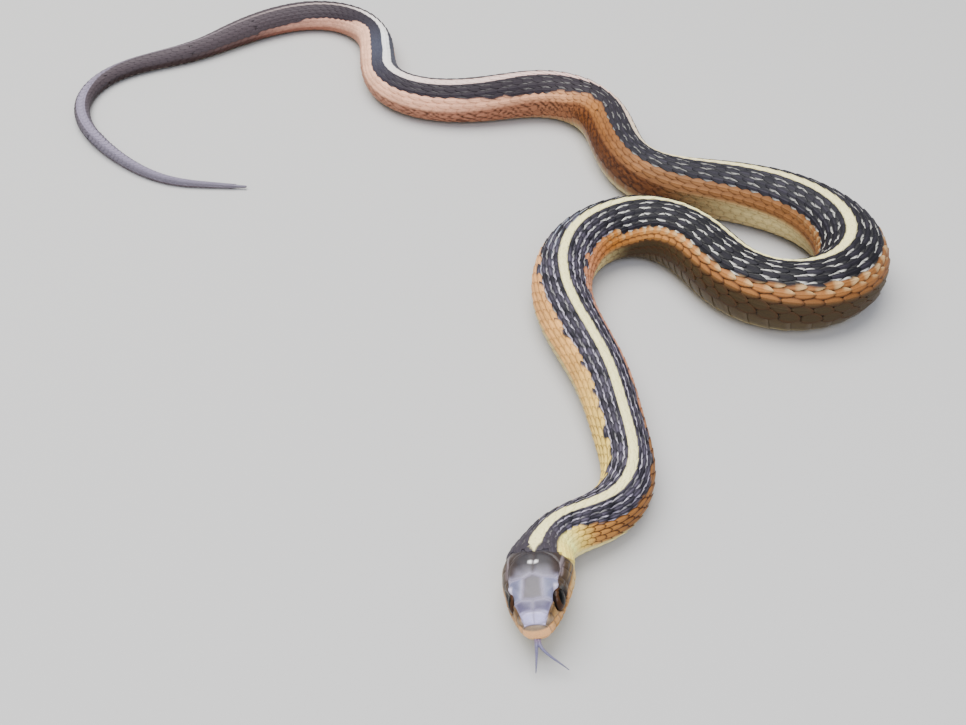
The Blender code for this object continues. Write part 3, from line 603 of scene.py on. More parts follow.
def body_marking(station, angle, row, draw, across, along, flecked, sizes, tints):
    """Linear colour of points of the coat. row is the angle of the scale's own row, draw is its
    random share, across and along are the place in the scale, and flecked is 1 where the row
    shows white skin."""
    station, angle = np.asarray(station, float), np.asarray(angle, float)
    off, side, left = np.abs(angle), np.sign(angle), angle > 0.0
    half = smooth(station, GIRTH) / 2.0
    width = sizes.stripe / MM * smooth(station, STRIPE)
    reach = np.degrees(np.arcsin(np.clip(width / half, 0.0, 0.9)))
    reach += 0.6 * wave_noise(station * 1.1, side * 3.0, seed=3)
    on_stripe = 1.0 - blend(off, reach - 1.1, reach + 1.1)
    ragged = 8.0 * (draw - 0.5) + 5.0 * wave_noise(station * 0.9, side * 2.0, seed=9)
    ragged = ragged * blend(station, 14.0, 22.0) * (1.0 - 0.7 * blend(station, 100.0, 112.0))
    edge = smooth(station, BAND_EDGE) + ragged
    edge = edge + 40.0 * ~left * (1.0 - blend(station, 14.5, 19.0))
    on_dark = 1.0 - blend(0.65 * np.abs(row) + 0.35 * off, edge - 1.2, edge + 1.2)

    arch = arch_share(station)
    flank = flank_colour(station, left) * (0.88 + 0.24 * draw[..., None])
    outline = np.maximum(blend(np.abs(across), 0.52, 0.88), blend(along, 0.74, 0.95))
    outlined = smooth(station, OUTLINES) * (1.0 - 0.25 * ~left * (1.0 - blend(station, 50.0, 90.0)))
    flank = mix(flank, colour("3a1c0c"), outline * outlined)
    tips = blend(along, 0.45, 0.75) * (1.0 - blend(off, edge + 8.0, edge + 16.0)) * arch
    flank = mix(flank, colour("efc98c"), tips * 0.5)
    level = smooth(station, FLANK_EDGE)
    low = blend(off, level - 6.0, level + 8.0)
    # Painted shade, with the darker brown of the lowest rows: on the arch the lower flank and belly turn dark
    # brown.
    under = mix(np.broadcast_to(np.array(tints.belly), flank.shape), colour("26150c"), 0.95 * arch)
    under = mix(under, colour("4a2a16"), outline * outlined * 0.6)
    rear = blend(station, 176.0, 200.0)
    under = mix(under, colour("fff0a0"), 0.7 * (1.0 - blend(station, 20.0, 45.0)))
    fine = wave_noise(station * 2.7, off * 0.3, seed=17) + wave_noise(station * 3.1, off * -0.34, seed=18)
    fine = 0.7 * fine + 0.5 * (draw - 0.5)
    spots = (0.35 + 0.65 * blend(fine, 0.0, 0.25)) * (1.0 - 0.7 * blend(station, 262.0, 300.0))
    # The rear's low rows: the flank darkened as painted shade, with dark brown mottling over it.
    brown = mix(flank * (0.66, 0.55, 0.52), colour("30190f"), 0.85 * spots)
    flank = mix(flank, mix(under, brown, rear), low)

    dark = dark_marking(station, row, draw, across, along, flecked, tints)
    cream = np.broadcast_to(np.array(tints.stripe), flank.shape) * (1.0 - 0.06 * draw[..., None])
    cream = mix(cream, colour("a8935a"), 0.35 * blend(along, 0.85, 1.0))
    cream = mix(cream, table_colour(station, STRIPE_REAR), blend(station, 150.0, 240.0))
    return mix(mix(flank, dark, on_dark), cream, on_stripe)


def under_marking(station, angle, sizes, tints):
    """The skin that shows between the scales: nearly black, or a darker shade of the stripes."""
    zero = np.zeros_like(station)
    base = body_marking(
        station, angle, angle, zero + 0.5, zero, zero + 0.3, zero + 0.5, sizes, tints
    )
    share = np.where(base.mean(axis=-1) < 0.16, 0.8, 0.35) * (1.0 - 0.8 * blend(station, 320.0, 350.0))
    return mix(base, colour("100e11"), share)


# Colours of the top of the head from the snout back, and how far it reaches to each side.
# The snout's pale lavender and the plates' blue-grey are partly a painted reflection of the sky.
HEAD_TOP = (
    (0.3, "b7b1d9"), (1.9, "aca5cc"), (2.15, "5a546c"), (3.2, "585268"), (3.6, "5f595c"),
    (6.3, "5a5458"), (7.2, "6c6672"), (8.0, "524d52"), (8.8, "2e292b"), (13.0, "292425"),
)
TOP_REACH = (
    (0.3, 1.0), (0.95, 1.42), (1.75, 1.75), (3.3, 2.45), (4.0, 2.82), (5.2, 3.08), (6.3, 3.1),
    (7.2, 3.25), (8.2, 3.4), (9.2, 3.3), (10.4, 3.4), (12.0, 3.6),
)


def top_marking(station, across, groove):
    """Colours of the plates on top of the head: pale in front and darker behind, their blue-grey partly a
    painted reflection of the sky.
    """
    top = table_colour(station, HEAD_TOP)
    off = np.abs(across)
    # The supraoculars' blue-grey is partly a painted reflection of the sky.
    beside = blend(off, 1.25, 1.45) * blend(station, 3.3, 3.6) * (1.0 - blend(station, 6.5, 6.7))
    top = mix(top, colour("6a6b86"), beside * 0.85)
    # A pale rim on the brow: partly the plate's pale edge and partly a painted highlight.
    rim = blend(off, 2.45, 2.8) * blend(station, 3.4, 4.1) * (1.0 - blend(station, 5.1, 5.9))
    top = mix(top, colour("d4c8dc"), rim * 0.9)
    patch = wave_noise(station * 2.6, across * 2.2, seed=21) * blend(station, 2.0, 2.4)
    top = top * (1.0 + 0.22 * patch[..., None])
    rear = blend(station, 6.6, 7.6) * blend(off, 1.7, 3.0)
    top = mix(top, colour("33261f"), rear * 0.85)
    border = np.exp(-((groove / 0.26) ** 2)) * (1.0 - blend(station, 6.9, 7.8))
    top = mix(top, colour("b9b0c8"), border * 0.5)
    spots = ((station - 9.0) / 0.3) ** 2 + ((off - 0.4) / 0.24) ** 2
    return mix(top, colour("fbf7f2"), np.exp(-(spots**2)))


def side_marking(station, up):
    """Colours of the side of the head: tan snout, brown temple, yellow lips and pale chin."""
    side = np.broadcast_to(np.array(colour("a87c3e")), station.shape + (3,))
    side = mix(side, colour("35261e"), blend(up, 2.2, 2.6) * blend(station, 3.0, 3.8))
    side = mix(side, colour("40301f"), blend(station, 5.0, 5.9))
    streak = blend(wave_noise(station * 0.9, up * 4.0, seed=31), 0.05, 0.5) * blend(station, 5.6, 6.6)
    side = mix(side, colour("8a6e42"), 0.55 * streak * (1.0 - blend(up, 1.9, 2.5)))
    side = mix(side, colour("7d7074"), blend(up, 2.6, 3.0) * blend(station, 6.8, 7.6) * 0.7)
    side = mix(side, colour("7e7468"), (1.0 - blend(station, 1.2, 2.2)) * 0.7)
    lip = np.broadcast_to(np.array(colour("c08a4a")), side.shape)
    lip = mix(lip, colour("d6b066"), blend(station, 6.0, 9.0))
    lip = mix(lip, colour("86602f"), blend(up, 0.5, 1.1) * blend(station, 5.4, 6.6))
    lip = mix(lip, colour("f2b272"), 1.0 - blend(station, 0.6, 1.6))
    tops = smooth(station, UPPER_LABIAL_TOPS)
    found = mix(side, lip, 1.0 - blend(up, tops - 0.12, tops + 0.12))
    return mix(found, colour("f3e190"), 1.0 - blend(up, -1.0, -0.5))


def head_marking(station, angle, across, up, groove, sizes, tints):
    """Colours of the head, with dark lines in the sutures and in the mouth, and painted shade round the eyes
    and below the edge of the top plates.
    """
    off = np.abs(across)
    reach = smooth(station, TOP_REACH)
    above = blend(up, 0.9, 1.5) * (1.0 - blend(off, reach - 0.05, reach + 0.1))
    above *= blend(station, 0.58, 0.68)
    found = mix(side_marking(station, up), top_marking(station, across, groove), above)
    # Painted shadow in a strip below the edge of the top plates, in front of the eyes.
    canthus_shade = np.exp(-(((off - reach - 0.24) / 0.2) ** 2)) * blend(up, 0.9, 1.4)
    canthus_shade *= blend(station, 1.2, 1.9) * (1.0 - blend(station, 3.6, 4.4))
    found = mix(found, colour("2a211c"), canthus_shade * 0.8)
    line = np.exp(-((groove / (sizes.suture / MM)) ** 2))
    strength = np.where(above > 0.5, 0.4 + 0.3 * blend(station, 6.5, 8.0), 0.65)
    found = mix(found, colour("2e2220"), line * strength)
    front = np.exp(-(((station - 0.62) / 0.07) ** 2)) * (up > 1.0)
    found = mix(found, colour("3a2a22"), front * 0.8)
    ring = np.hypot(station - EYE_STATION, up - EYE_LEVEL)
    # Painted shade in the socket round each eye.
    socket_shade = (1.0 - blend(ring, 1.5, 1.72)) * (off > 1.5) * (1.0 - blend(up, 2.3, 2.7))
    found = mix(found, colour("17100d"), socket_shade)
    mouth = np.exp(-(((up - LIP_LEVEL) / 0.1) ** 2)) * (1.0 - blend(station, 11.0, 11.6))
    found = mix(found, colour("1c110d"), mouth * 0.9)
    zero = np.zeros_like(station)
    body = body_marking(
        station, angle, angle, zero + 0.5, zero, zero + 0.3, zero + 0.5, sizes, tints
    )
    return mix(found, body * 0.8, blend(station, 10.7, 11.6))


def lip_plates():
    """Outlines of the plates along the upper and the lower lip."""
    found = []
    for a, b in zip(UPPER_LABIALS, UPPER_LABIALS[1:]):
        middle = (a + b) / 2.0
        tops = [float(smooth(s, UPPER_LABIAL_TOPS)) for s in (b, middle, a)]
        found.append(((a, LIP_LEVEL), (b, LIP_LEVEL), (b, tops[0]), (middle, tops[1]), (a, tops[2])))
    for a, b in zip(LOWER_LABIALS, LOWER_LABIALS[1:]):
        drop = max(LOWER_LABIAL_DROP, -0.75 * float(section_sizes(np.float64(a))[2]))
        found.append(((a, LIP_LEVEL), (b, LIP_LEVEL), (b, drop), (a, drop)))
    return found


def suture_tree():
    """The outlines of the head's plates as closely set points, in a tree for quick distances."""
    spots = []
    plates = [(angle_at_top, plate) for plate in TOP_PLATES + (FRONTAL,)]
    plates += [(angle_at_side, plate) for plate in SIDE_PLATES + tuple(lip_plates())]
    for find, plate in plates:
        for (s0, v0), (s1, v1) in zip(plate, plate[1:] + plate[:1]):
            steps = max(int(math.hypot(s1 - s0, v1 - v0) / 0.05), 2)
            share = np.linspace(0.0, 1.0, steps)
            angle = find(s0 + (s1 - s0) * share, v0 + (v1 - v0) * share)
            for turn in (angle, -angle):
                spots.append(skin_point(s0 + (s1 - s0) * share, turn))
    spots = np.concatenate(spots)
    tree = kdtree.KDTree(len(spots))
    for number, spot in enumerate(spots):
        tree.insert(spot, number)
    tree.balance()
    return tree


def new_mesh(name, vertices, faces):
    """A mesh from points in millimetres and the faces between them."""
    mesh = bpy.data.meshes.new(name)
    mesh.from_pydata((np.asarray(vertices) * MM).tolist(), [], faces)
    mesh.validate()
    return mesh


def outwards(mesh):
    """Turns the faces of a closed mesh outwards and makes it smooth."""
    work = bmesh.new()
    work.from_mesh(mesh)
    bmesh.ops.recalc_face_normals(work, faces=work.faces)
    work.to_mesh(mesh)
    work.free()
    mesh.shade_smooth()
    return mesh


def as_piece(name, mesh, material):
    """An object of the model at the origin, riding on its body and with its finish."""
    piece = bpy.data.objects.new(name, mesh)
    bpy.context.scene.collection.objects.link(piece)
    mesh.materials.clear()
    mesh.materials.append(material)
    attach(piece, BODY)
    return piece


def give_colours(mesh, name, values):
    """Stores a linear colour for each vertex."""
    layer = mesh.attributes.new(name, "FLOAT_COLOR", "POINT")
    flat = np.concatenate([np.clip(values, 0.0, 1.0), np.ones((len(values), 1))], axis=1)
    layer.data.foreach_set("color", flat.astype(np.float32).ravel())


def give_values(mesh, name, values):
    """Stores a number for each vertex."""
    layer = mesh.attributes.new(name, "FLOAT", "POINT")
    layer.data.foreach_set("value", np.asarray(values, np.float32).ravel())


def read_values(mesh, name):
    """Reads a number stored for each vertex."""
    layer = mesh.attributes[name]
    values = np.empty(len(layer.data), np.float32)
    layer.data.foreach_get("value", values)
    return values.astype(float)


def unwrap_place(station, angle):
    """Where a spot of the skin lies on an unwrap that is cut into strips side by side."""
    run = np.clip(station / BODY_LENGTH, 0.0, 0.9999) * UNWRAP_STRIPS
    strip = np.floor(run)
    return 0.01 + 0.98 * (run - strip), (strip + 0.04 + 0.92 * (angle + 180.0) / 360.0) / UNWRAP_STRIPS


def give_patches(mesh, station, angle, across, along):
    """The UV map OFBake: each scale is a small patch at its root's place on the unwrap."""
    u, v = unwrap_place(station, angle)
    u = u + (along - 0.5) * PATCH
    v = v + across * 0.5 * PATCH
    corners = np.empty(len(mesh.loops), np.int32)
    mesh.loops.foreach_get("vertex_index", corners)
    layer = mesh.uv_layers.new(name="OFBake")
    layer.data.foreach_set("uv", np.stack([u, v], axis=1)[corners].astype(np.float32).ravel())


def add_node(tree, kind, links=(), **settings):
    """Adds a node, sets its properties and inputs by name, and links its inputs."""
    node = tree.nodes.new(kind)
    for name, value in settings.items():
        if name.startswith("in_"):
            key = name[3:]
            node.inputs[int(key) if key.isdigit() else key.replace("_", " ")].default_value = value
        else:
            setattr(node, name, value)
    for name, source in dict(links).items():
        tree.links.new(source, node.inputs[name])
    return node


def new_material(name):
    """A new material with its node tree and its shader."""
    material = bpy.data.materials.new(name)
    material.use_nodes = True
    tree = material.node_tree
    return material, tree, tree.nodes["Principled BSDF"]


def grained(tree, shader, attribute, grain_mm, depth_mm, low, high):
    """Colour from an attribute with fine mottling, and a bump and roughness to match."""
    marking = add_node(tree, "ShaderNodeAttribute", attribute_name=attribute)
    place = add_node(tree, "ShaderNodeTexCoord")
    grain = add_node(
        tree, "ShaderNodeTexNoise", {"Vector": place.outputs["Object"]},
        in_Scale=1.0 / (grain_mm * MM), in_Detail=4.0, in_Roughness=0.6,
    )
    tone = add_node(
        tree, "ShaderNodeMapRange", {"Value": grain.outputs["Fac"]},
        in_1=0.3, in_2=0.7, in_3=0.86, in_4=1.12,
    )
    mottled = add_node(
        tree, "ShaderNodeVectorMath", {0: marking.outputs["Color"]}, operation="SCALE",
    )
    tree.links.new(tone.outputs["Result"], mottled.inputs["Scale"])
    tree.links.new(mottled.outputs["Vector"], shader.inputs["Base Color"])
    rough = add_node(
        tree, "ShaderNodeMapRange", {"Value": grain.outputs["Fac"]},
        in_1=0.3, in_2=0.7, in_3=low, in_4=high,
    )
    tree.links.new(rough.outputs["Result"], shader.inputs["Roughness"])
    bump = add_node(
        tree, "ShaderNodeBump", {"Height": grain.outputs["Fac"]},
        in_Strength=0.5, in_Distance=depth_mm * MM,
    )
    tree.links.new(bump.outputs["Normal"], shader.inputs["Normal"])
    return bump


def horn_material():
    """Keratin of the keeled scales: satin and finely mottled, with a soft gleam on each keel."""
    material, tree, shader = new_material("keratin_scales")
    grained(tree, shader, "marking", 0.22, 0.02, 0.42, 0.6)
    shader.inputs["IOR"].default_value = 1.5
    shader.inputs["Specular IOR Level"].default_value = 0.14
    return material


def skin_material():
    """Head plates and the soft skin between the scales: smooth keratin with a dull sheen."""
    material, tree, shader = new_material("keratin_head_plates")
    grained(tree, shader, "marking", 0.16, 0.012, 0.3, 0.46)
    shader.inputs["Specular IOR Level"].default_value = 0.34
    shader.inputs["Subsurface Weight"].default_value = 0.06
    shader.inputs["Subsurface Radius"].default_value = (0.0008, 0.0004, 0.0002)
    return material


def scute_material():
    """Keratin of the belly plates, worn smooth by crawling: satin with a faint gleam."""
    material, tree, shader = new_material("keratin_belly_plates")
    grained(tree, shader, "marking", 0.5, 0.01, 0.3, 0.42)
    shader.inputs["Specular IOR Level"].default_value = 0.16
    return material


def eye_material():
    """The eye under its clear spectacle, glossy as wet glass: black round pupil, brown iris."""
    material, tree, shader = new_material("eye_under_clear_spectacle")
    ring = add_node(tree, "ShaderNodeAttribute", attribute_name="ring")
    place = add_node(tree, "ShaderNodeTexCoord")
    grain = add_node(
        tree, "ShaderNodeTexNoise", {"Vector": place.outputs["Object"]},
        in_Scale=1.0 / (0.25 * MM), in_Detail=3.0,
    )
    jitter = add_node(
        tree, "ShaderNodeMath", {0: grain.outputs["Fac"]}, operation="MULTIPLY_ADD",
        in_1=0.08, in_2=-0.04,
    )
    shifted = add_node(
        tree, "ShaderNodeMath", {0: ring.outputs["Fac"], 1: jitter.outputs["Value"]}, operation="ADD",
    )
    ramp = add_node(tree, "ShaderNodeValToRGB", {"Fac": shifted.outputs["Value"]})
    stops = (
        (0.0, "040404"), (0.28, "040404"), (0.3, "3e2818"), (0.34, "3a2416"), (0.5, "301c12"),
        (0.8, "26160f"), (1.0, "160e0b"),
    )
    while len(ramp.color_ramp.elements) < len(stops):
        ramp.color_ramp.elements.new(1.0)
    for element, (at, code) in zip(ramp.color_ramp.elements, stops):
        element.position = at
        element.color = colour(code) + (1.0,)
    tree.links.new(ramp.outputs["Color"], shader.inputs["Base Color"])
    shader.inputs["Roughness"].default_value = 0.3
    shader.inputs["Specular IOR Level"].default_value = 0.03
    shader.inputs["Coat Weight"].default_value = 0.14
    shader.inputs["Coat Roughness"].default_value = 0.07
    return material


def tongue_material():
    """Moist flesh of the tongue: grey-violet, wet and slightly see-through."""
    material, tree, shader = new_material("moist_tongue")
    grained(tree, shader, "marking", 0.15, 0.02, 0.2, 0.4)
    shader.inputs["Subsurface Weight"].default_value = 0.15
    shader.inputs["Subsurface Radius"].default_value = (0.0006, 0.0003, 0.0004)
    shader.inputs["Coat Weight"].default_value = 0.3
    return material


def floor_material(tints):
    """Matt uncoated paper: one plain tone with no shine."""
    material, _, shader = new_material("matt_paper_floor")
    shader.inputs["Base Color"].default_value = tuple(tints.floor) + (1.0,)
    shader.inputs["Roughness"].default_value = 0.9
    return material


def relief(station, across, up, groove, sizes):
    """How far the head's skin stands proud: plates, mouth, nostrils and the rim of the eye."""
    width = sizes.suture / MM
    plates = PLATE_RISE * (1.0 - np.exp(-((groove / 0.28) ** 2)))
    plates -= GROOVE_DEPTH * np.exp(-((groove / width) ** 2))
    fade = 1.0 - blend(station, 10.2, HEAD_SKIN_END)
    covered = blend(station, 10.0, HEAD_SKIN_END) * (1.0 - 0.9 * blend(station, 434.0, SCALES_END + 1.0))
    proud = plates * fade - SKIN_DEPTH * covered
    proud = proud - TIP_TAPER * blend(station, SCALES_END, BODY_LENGTH)
    shut = 1.0 - blend(station, MOUTH_CORNER - 0.8, MOUTH_CORNER)
    mouth = np.minimum(MOUTH_DEPTH, 0.35 * section_sizes(station)[0])
    proud = proud - mouth * np.exp(-(((up - LIP_LEVEL) / 0.11) ** 2)) * shut
    upper, lower = up - LIP_LEVEL - LIP_OFFSET - 0.02, up - LIP_LEVEL + LIP_OFFSET
    lip = np.exp(-((upper / 0.2) ** 2)) + np.exp(-((lower / 0.2) ** 2))
    proud = proud + LIP_ROLL * lip * shut
    ring = np.hypot(station - EYE_STATION, up - EYE_LEVEL)
    beside = np.abs(across) > 1.2
    proud = proud + beside * (EYE_RIM_RISE * np.exp(-(((ring - EYE_RIM) / 0.14) ** 2)))
    proud = proud - beside * EYE_SOCKET_DEPTH * (1.0 - blend(ring, 1.3, 1.62))
    long, high = NOSTRIL_HALF
    nostril = np.hypot((station - NOSTRIL_STATION) / long, (up - NOSTRIL_LEVEL) / high)
    proud = proud - (np.abs(across) > 0.8) * NOSTRIL_DEPTH * np.exp(-(nostril**2))
    brow = np.exp(-(((np.abs(across) - BROW_ACROSS) / 0.36) ** 2)) * blend(station, 2.6, 4.4)
    brow *= (1.0 - blend(station, 5.2, 7.4)) * blend(up, 2.0, 2.5)
    return proud + BROW_RISE * brow


def ring_angles():
    """Angles around the section, closer together about the lips and the brows."""
    even = np.linspace(-180.0, 180.0, RING_COUNT, endpoint=False)
    return even + 3.5 * np.sin(np.radians(4.0 * even))


def ring_stations():
    """Stations of the skin's rings, close together over the head."""
    nose = [0.03, 0.07, 0.12, 0.19, 0.27, 0.36]
    head = list(np.arange(0.45, HEAD_LENGTH, HEAD_RING_STEP))
    count = int((BODY_LENGTH - HEAD_LENGTH) / BODY_RING_STEP)
    return np.array(nose + head + list(np.linspace(HEAD_LENGTH, BODY_LENGTH - 0.2, count)))


def make_skin(sizes, tints):
    """One closed skin from the snout to the tip of the tail."""
    angles, stations = ring_angles(), ring_stations()
    station, angle = [grid.ravel() for grid in np.meshgrid(stations, angles, indexing="ij")]
    across, up = local_section(station, angle)
    groove = np.full(len(station), 9.0)
    near = np.nonzero(station < 12.5)[0]
    tree = suture_tree()
    places = skin_point(station[near], angle[near])
    for number, place in zip(near, places):
        groove[number] = tree.find(place)[2]
    proud = relief(station, across, up, groove, sizes)
    points = skin_point(station, angle, proud)
    tip = skin_point(0.0, 0.0)
    end = skin_point(BODY_LENGTH - 0.05, 0.0, -0.3)
    vertices = np.concatenate([points, [tip], [end]])
    rings = len(stations)
    one, two = np.arange(RING_COUNT), (np.arange(RING_COUNT) + 1) % RING_COUNT
    faces = []
    for ring in range(rings - 1):
        a = ring * RING_COUNT
        faces += np.stack([a + one, a + two, a + RING_COUNT + two, a + RING_COUNT + one], 1).tolist()
    last = (rings - 1) * RING_COUNT
    faces += np.stack([np.full(RING_COUNT, rings * RING_COUNT), two, one], 1).tolist()
    faces += np.stack([np.full(RING_COUNT, rings * RING_COUNT + 1), last + one, last + two], 1).tolist()
    mesh = outwards(new_mesh("skin", vertices, faces))
    turned = (angle + lean(station) + 180.0) % 360.0 - 180.0
    shade = under_marking(station, turned, sizes, tints)
    head = station < 13.0
    shade[head] = head_marking(
        station[head], angle[head], across[head], up[head], groove[head], sizes, tints
    )
    shade = np.concatenate([shade, shade[:1], shade[-1:]])
    give_colours(mesh, "marking", shade)
    zero = np.zeros(len(vertices))
    every = np.concatenate([station, [0.0, BODY_LENGTH]])
    turn = np.concatenate([angle, [0.0, 0.0]])
    give_patches(mesh, every, turn, zero, zero + 0.5)
    piece = as_piece("skin", mesh, skin_material())
    flesh = [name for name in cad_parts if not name.startswith(("eye", "tongue"))]
    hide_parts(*flesh)


def leaf_mesh():
    """One scale: a lance-shaped leaf with a keel, as wide and as long as one unit."""
    along, width = LEAF_ALONG[:-1], LEAF_WIDTH[:-1]
    crown = (0.4, 0.75, 0.95, 1.0, 0.95, 0.8, 0.65)
    across = (-1.0, -0.9, -0.74, -0.5, -0.28, -0.12, 0.0, 0.12, 0.28, 0.5, 0.74, 0.9, 1.0)
    height = (0.0, 0.34, 0.66, 0.88, 0.99, 1.1, 1.75, 1.1, 0.99, 0.88, 0.66, 0.34, 0.0)
    vertices, places = [], []
    for y, w, c in zip(along, width, crown):
        for x, z in zip(across, height):
            vertices.append((x * w / 2.0, y, z * c))
            places.append((x, y))
    vertices.append((0.0, 1.0, 0.45))
    places.append((0.0, 1.0))
    count = len(across)
    faces = []
    for row in range(len(along) - 1):
        for i in range(count - 1):
            a = row * count + i
            faces.append((a, a + 1, a + 1 + count, a + count))
    last = (len(along) - 1) * count
    faces += [(last + i, last + i + 1, len(vertices) - 1) for i in range(count - 1)]
    rim = list(range(count)) + [row * count + count - 1 for row in range(1, len(along))]
    rim += [len(vertices) - 1] + [row * count for row in range(len(along) - 1, 0, -1)]
    faces.append(tuple(reversed(rim)))
    mesh = bpy.data.meshes.new("leaf")
    mesh.from_pydata(vertices, [], faces)
    give_values(mesh, "leaf_across", [x for x, _ in places])
    give_values(mesh, "leaf_along", [y for _, y in places])
    mesh.shade_smooth()
    leaf = bpy.data.objects.new("leaf", mesh)
    bpy.context.scene.collection.objects.link(leaf)
    return leaf


def scale_roots():
    """Station, angle, row spacing, pitch and fleck of every scale, in rows laid like bricks."""
    stations = [10.2]
    while stations[-1] < SCALES_END:
        stations.append(stations[-1] + float(smooth(stations[-1], SCALE_PITCH)))
    found = []
    for number, station in enumerate(stations):
        _, rows, arc = next(row for row in SCALE_ROWS if station < row[0])
        pitch = float(smooth(station, SCALE_PITCH))
        spacing = arc / rows
        for row in range(rows):
            step = row - (rows - 1) // 2
            at = station + (pitch / 2.0 if step % 2 else 0.0)
            angle = step * spacing
            if at < np.interp(abs(angle), *zip(*SCALE_START)):
                continue
            found.append((at, angle, spacing, pitch, float(number % 2 == 0)))
    return np.array(found)


def frames_on_skin(station, angle, pitch, proud):
    """Place, turn and local stretch of the skin at many scales, each along its own chord."""
    turned = angle - lean(station)
    here = skin_point(station, turned, proud)
    ahead, behind = station + pitch, station - 0.35 * pitch
    along = skin_point(ahead, angle - lean(ahead), proud)
    along = along - skin_point(behind, angle - lean(behind), proud)
    stretch = np.linalg.norm(along, axis=1) / (1.35 * pitch)
    around = skin_point(station, turned + 1.5, proud) - skin_point(station, turned - 1.5, proud)
    spread = np.linalg.norm(around, axis=1) / 3.0
    y = along / np.linalg.norm(along, axis=1)[:, None]
    z = np.cross(around, y)
    z /= np.linalg.norm(z, axis=1)[:, None]
    x = np.cross(y, z)
    return here, x, y, z, stretch, spread


def euler_of(x, y, z):
    """XYZ Euler angles of frames given by their three axes."""
    return np.stack(
        [np.arctan2(y[:, 2], z[:, 2]), -np.arcsin(np.clip(x[:, 2], -1.0, 1.0)), np.arctan2(x[:, 1], x[:, 0])],
        axis=1,
    )


def scale_tree(leaf, material):
    """Geometry Nodes that put a scale on every root, realised and finished."""
    tree = bpy.data.node_groups.new("Scales on roots", "GeometryNodeTree")
    face = tree.interface
    face.new_socket("Geometry", in_out="INPUT", socket_type="NodeSocketGeometry")
    for name, value in (("Breadth", 1.0), ("Overlap", 1.0), ("Thickness", 0.0001), ("Jitter", 0.05)):
        socket = face.new_socket(name, in_out="INPUT", socket_type="NodeSocketFloat")
        socket.default_value = value
    face.new_socket("Seed", in_out="INPUT", socket_type="NodeSocketInt")
    face.new_socket("Geometry", in_out="OUTPUT", socket_type="NodeSocketGeometry")
    given = add_node(tree, "NodeGroupInput")
    turn = add_node(tree, "GeometryNodeInputNamedAttribute", data_type="FLOAT_VECTOR", in_Name="turn")
    size = add_node(tree, "GeometryNodeInputNamedAttribute", data_type="FLOAT_VECTOR", in_Name="size")
    shape = add_node(
        tree, "ShaderNodeCombineXYZ",
        {"X": given.outputs["Breadth"], "Y": given.outputs["Overlap"], "Z": given.outputs["Thickness"]},
    )
    sized = add_node(
        tree, "ShaderNodeVectorMath", {0: size.outputs[0], 1: shape.outputs[0]}, operation="MULTIPLY",
    )
    least = add_node(tree, "ShaderNodeMath", {1: given.outputs["Jitter"]}, operation="SUBTRACT", in_0=1.0)
    most = add_node(tree, "ShaderNodeMath", {1: given.outputs["Jitter"]}, operation="ADD", in_0=1.0)
    chance = add_node(tree, "FunctionNodeRandomValue", data_type="FLOAT")
    tree.links.new(least.outputs[0], chance.inputs[2])
    tree.links.new(most.outputs[0], chance.inputs[3])
    tree.links.new(given.outputs["Seed"], chance.inputs["Seed"])
    varied = add_node(tree, "ShaderNodeVectorMath", {0: sized.outputs[0]}, operation="SCALE")
    tree.links.new(chance.outputs[1], varied.inputs["Scale"])
    source = add_node(tree, "GeometryNodeObjectInfo", in_Object=leaf)
    placed = add_node(
        tree, "GeometryNodeInstanceOnPoints",
        {"Points": given.outputs["Geometry"], "Instance": source.outputs["Geometry"],
         "Rotation": turn.outputs[0], "Scale": varied.outputs[0]},
    )
    real = add_node(tree, "GeometryNodeRealizeInstances", {"Geometry": placed.outputs["Instances"]})
    finished = add_node(
        tree, "GeometryNodeSetMaterial", {"Geometry": real.outputs["Geometry"]}, in_Material=material,
    )
    add_node(tree, "NodeGroupOutput", {"Geometry": finished.outputs["Geometry"]})
    return tree


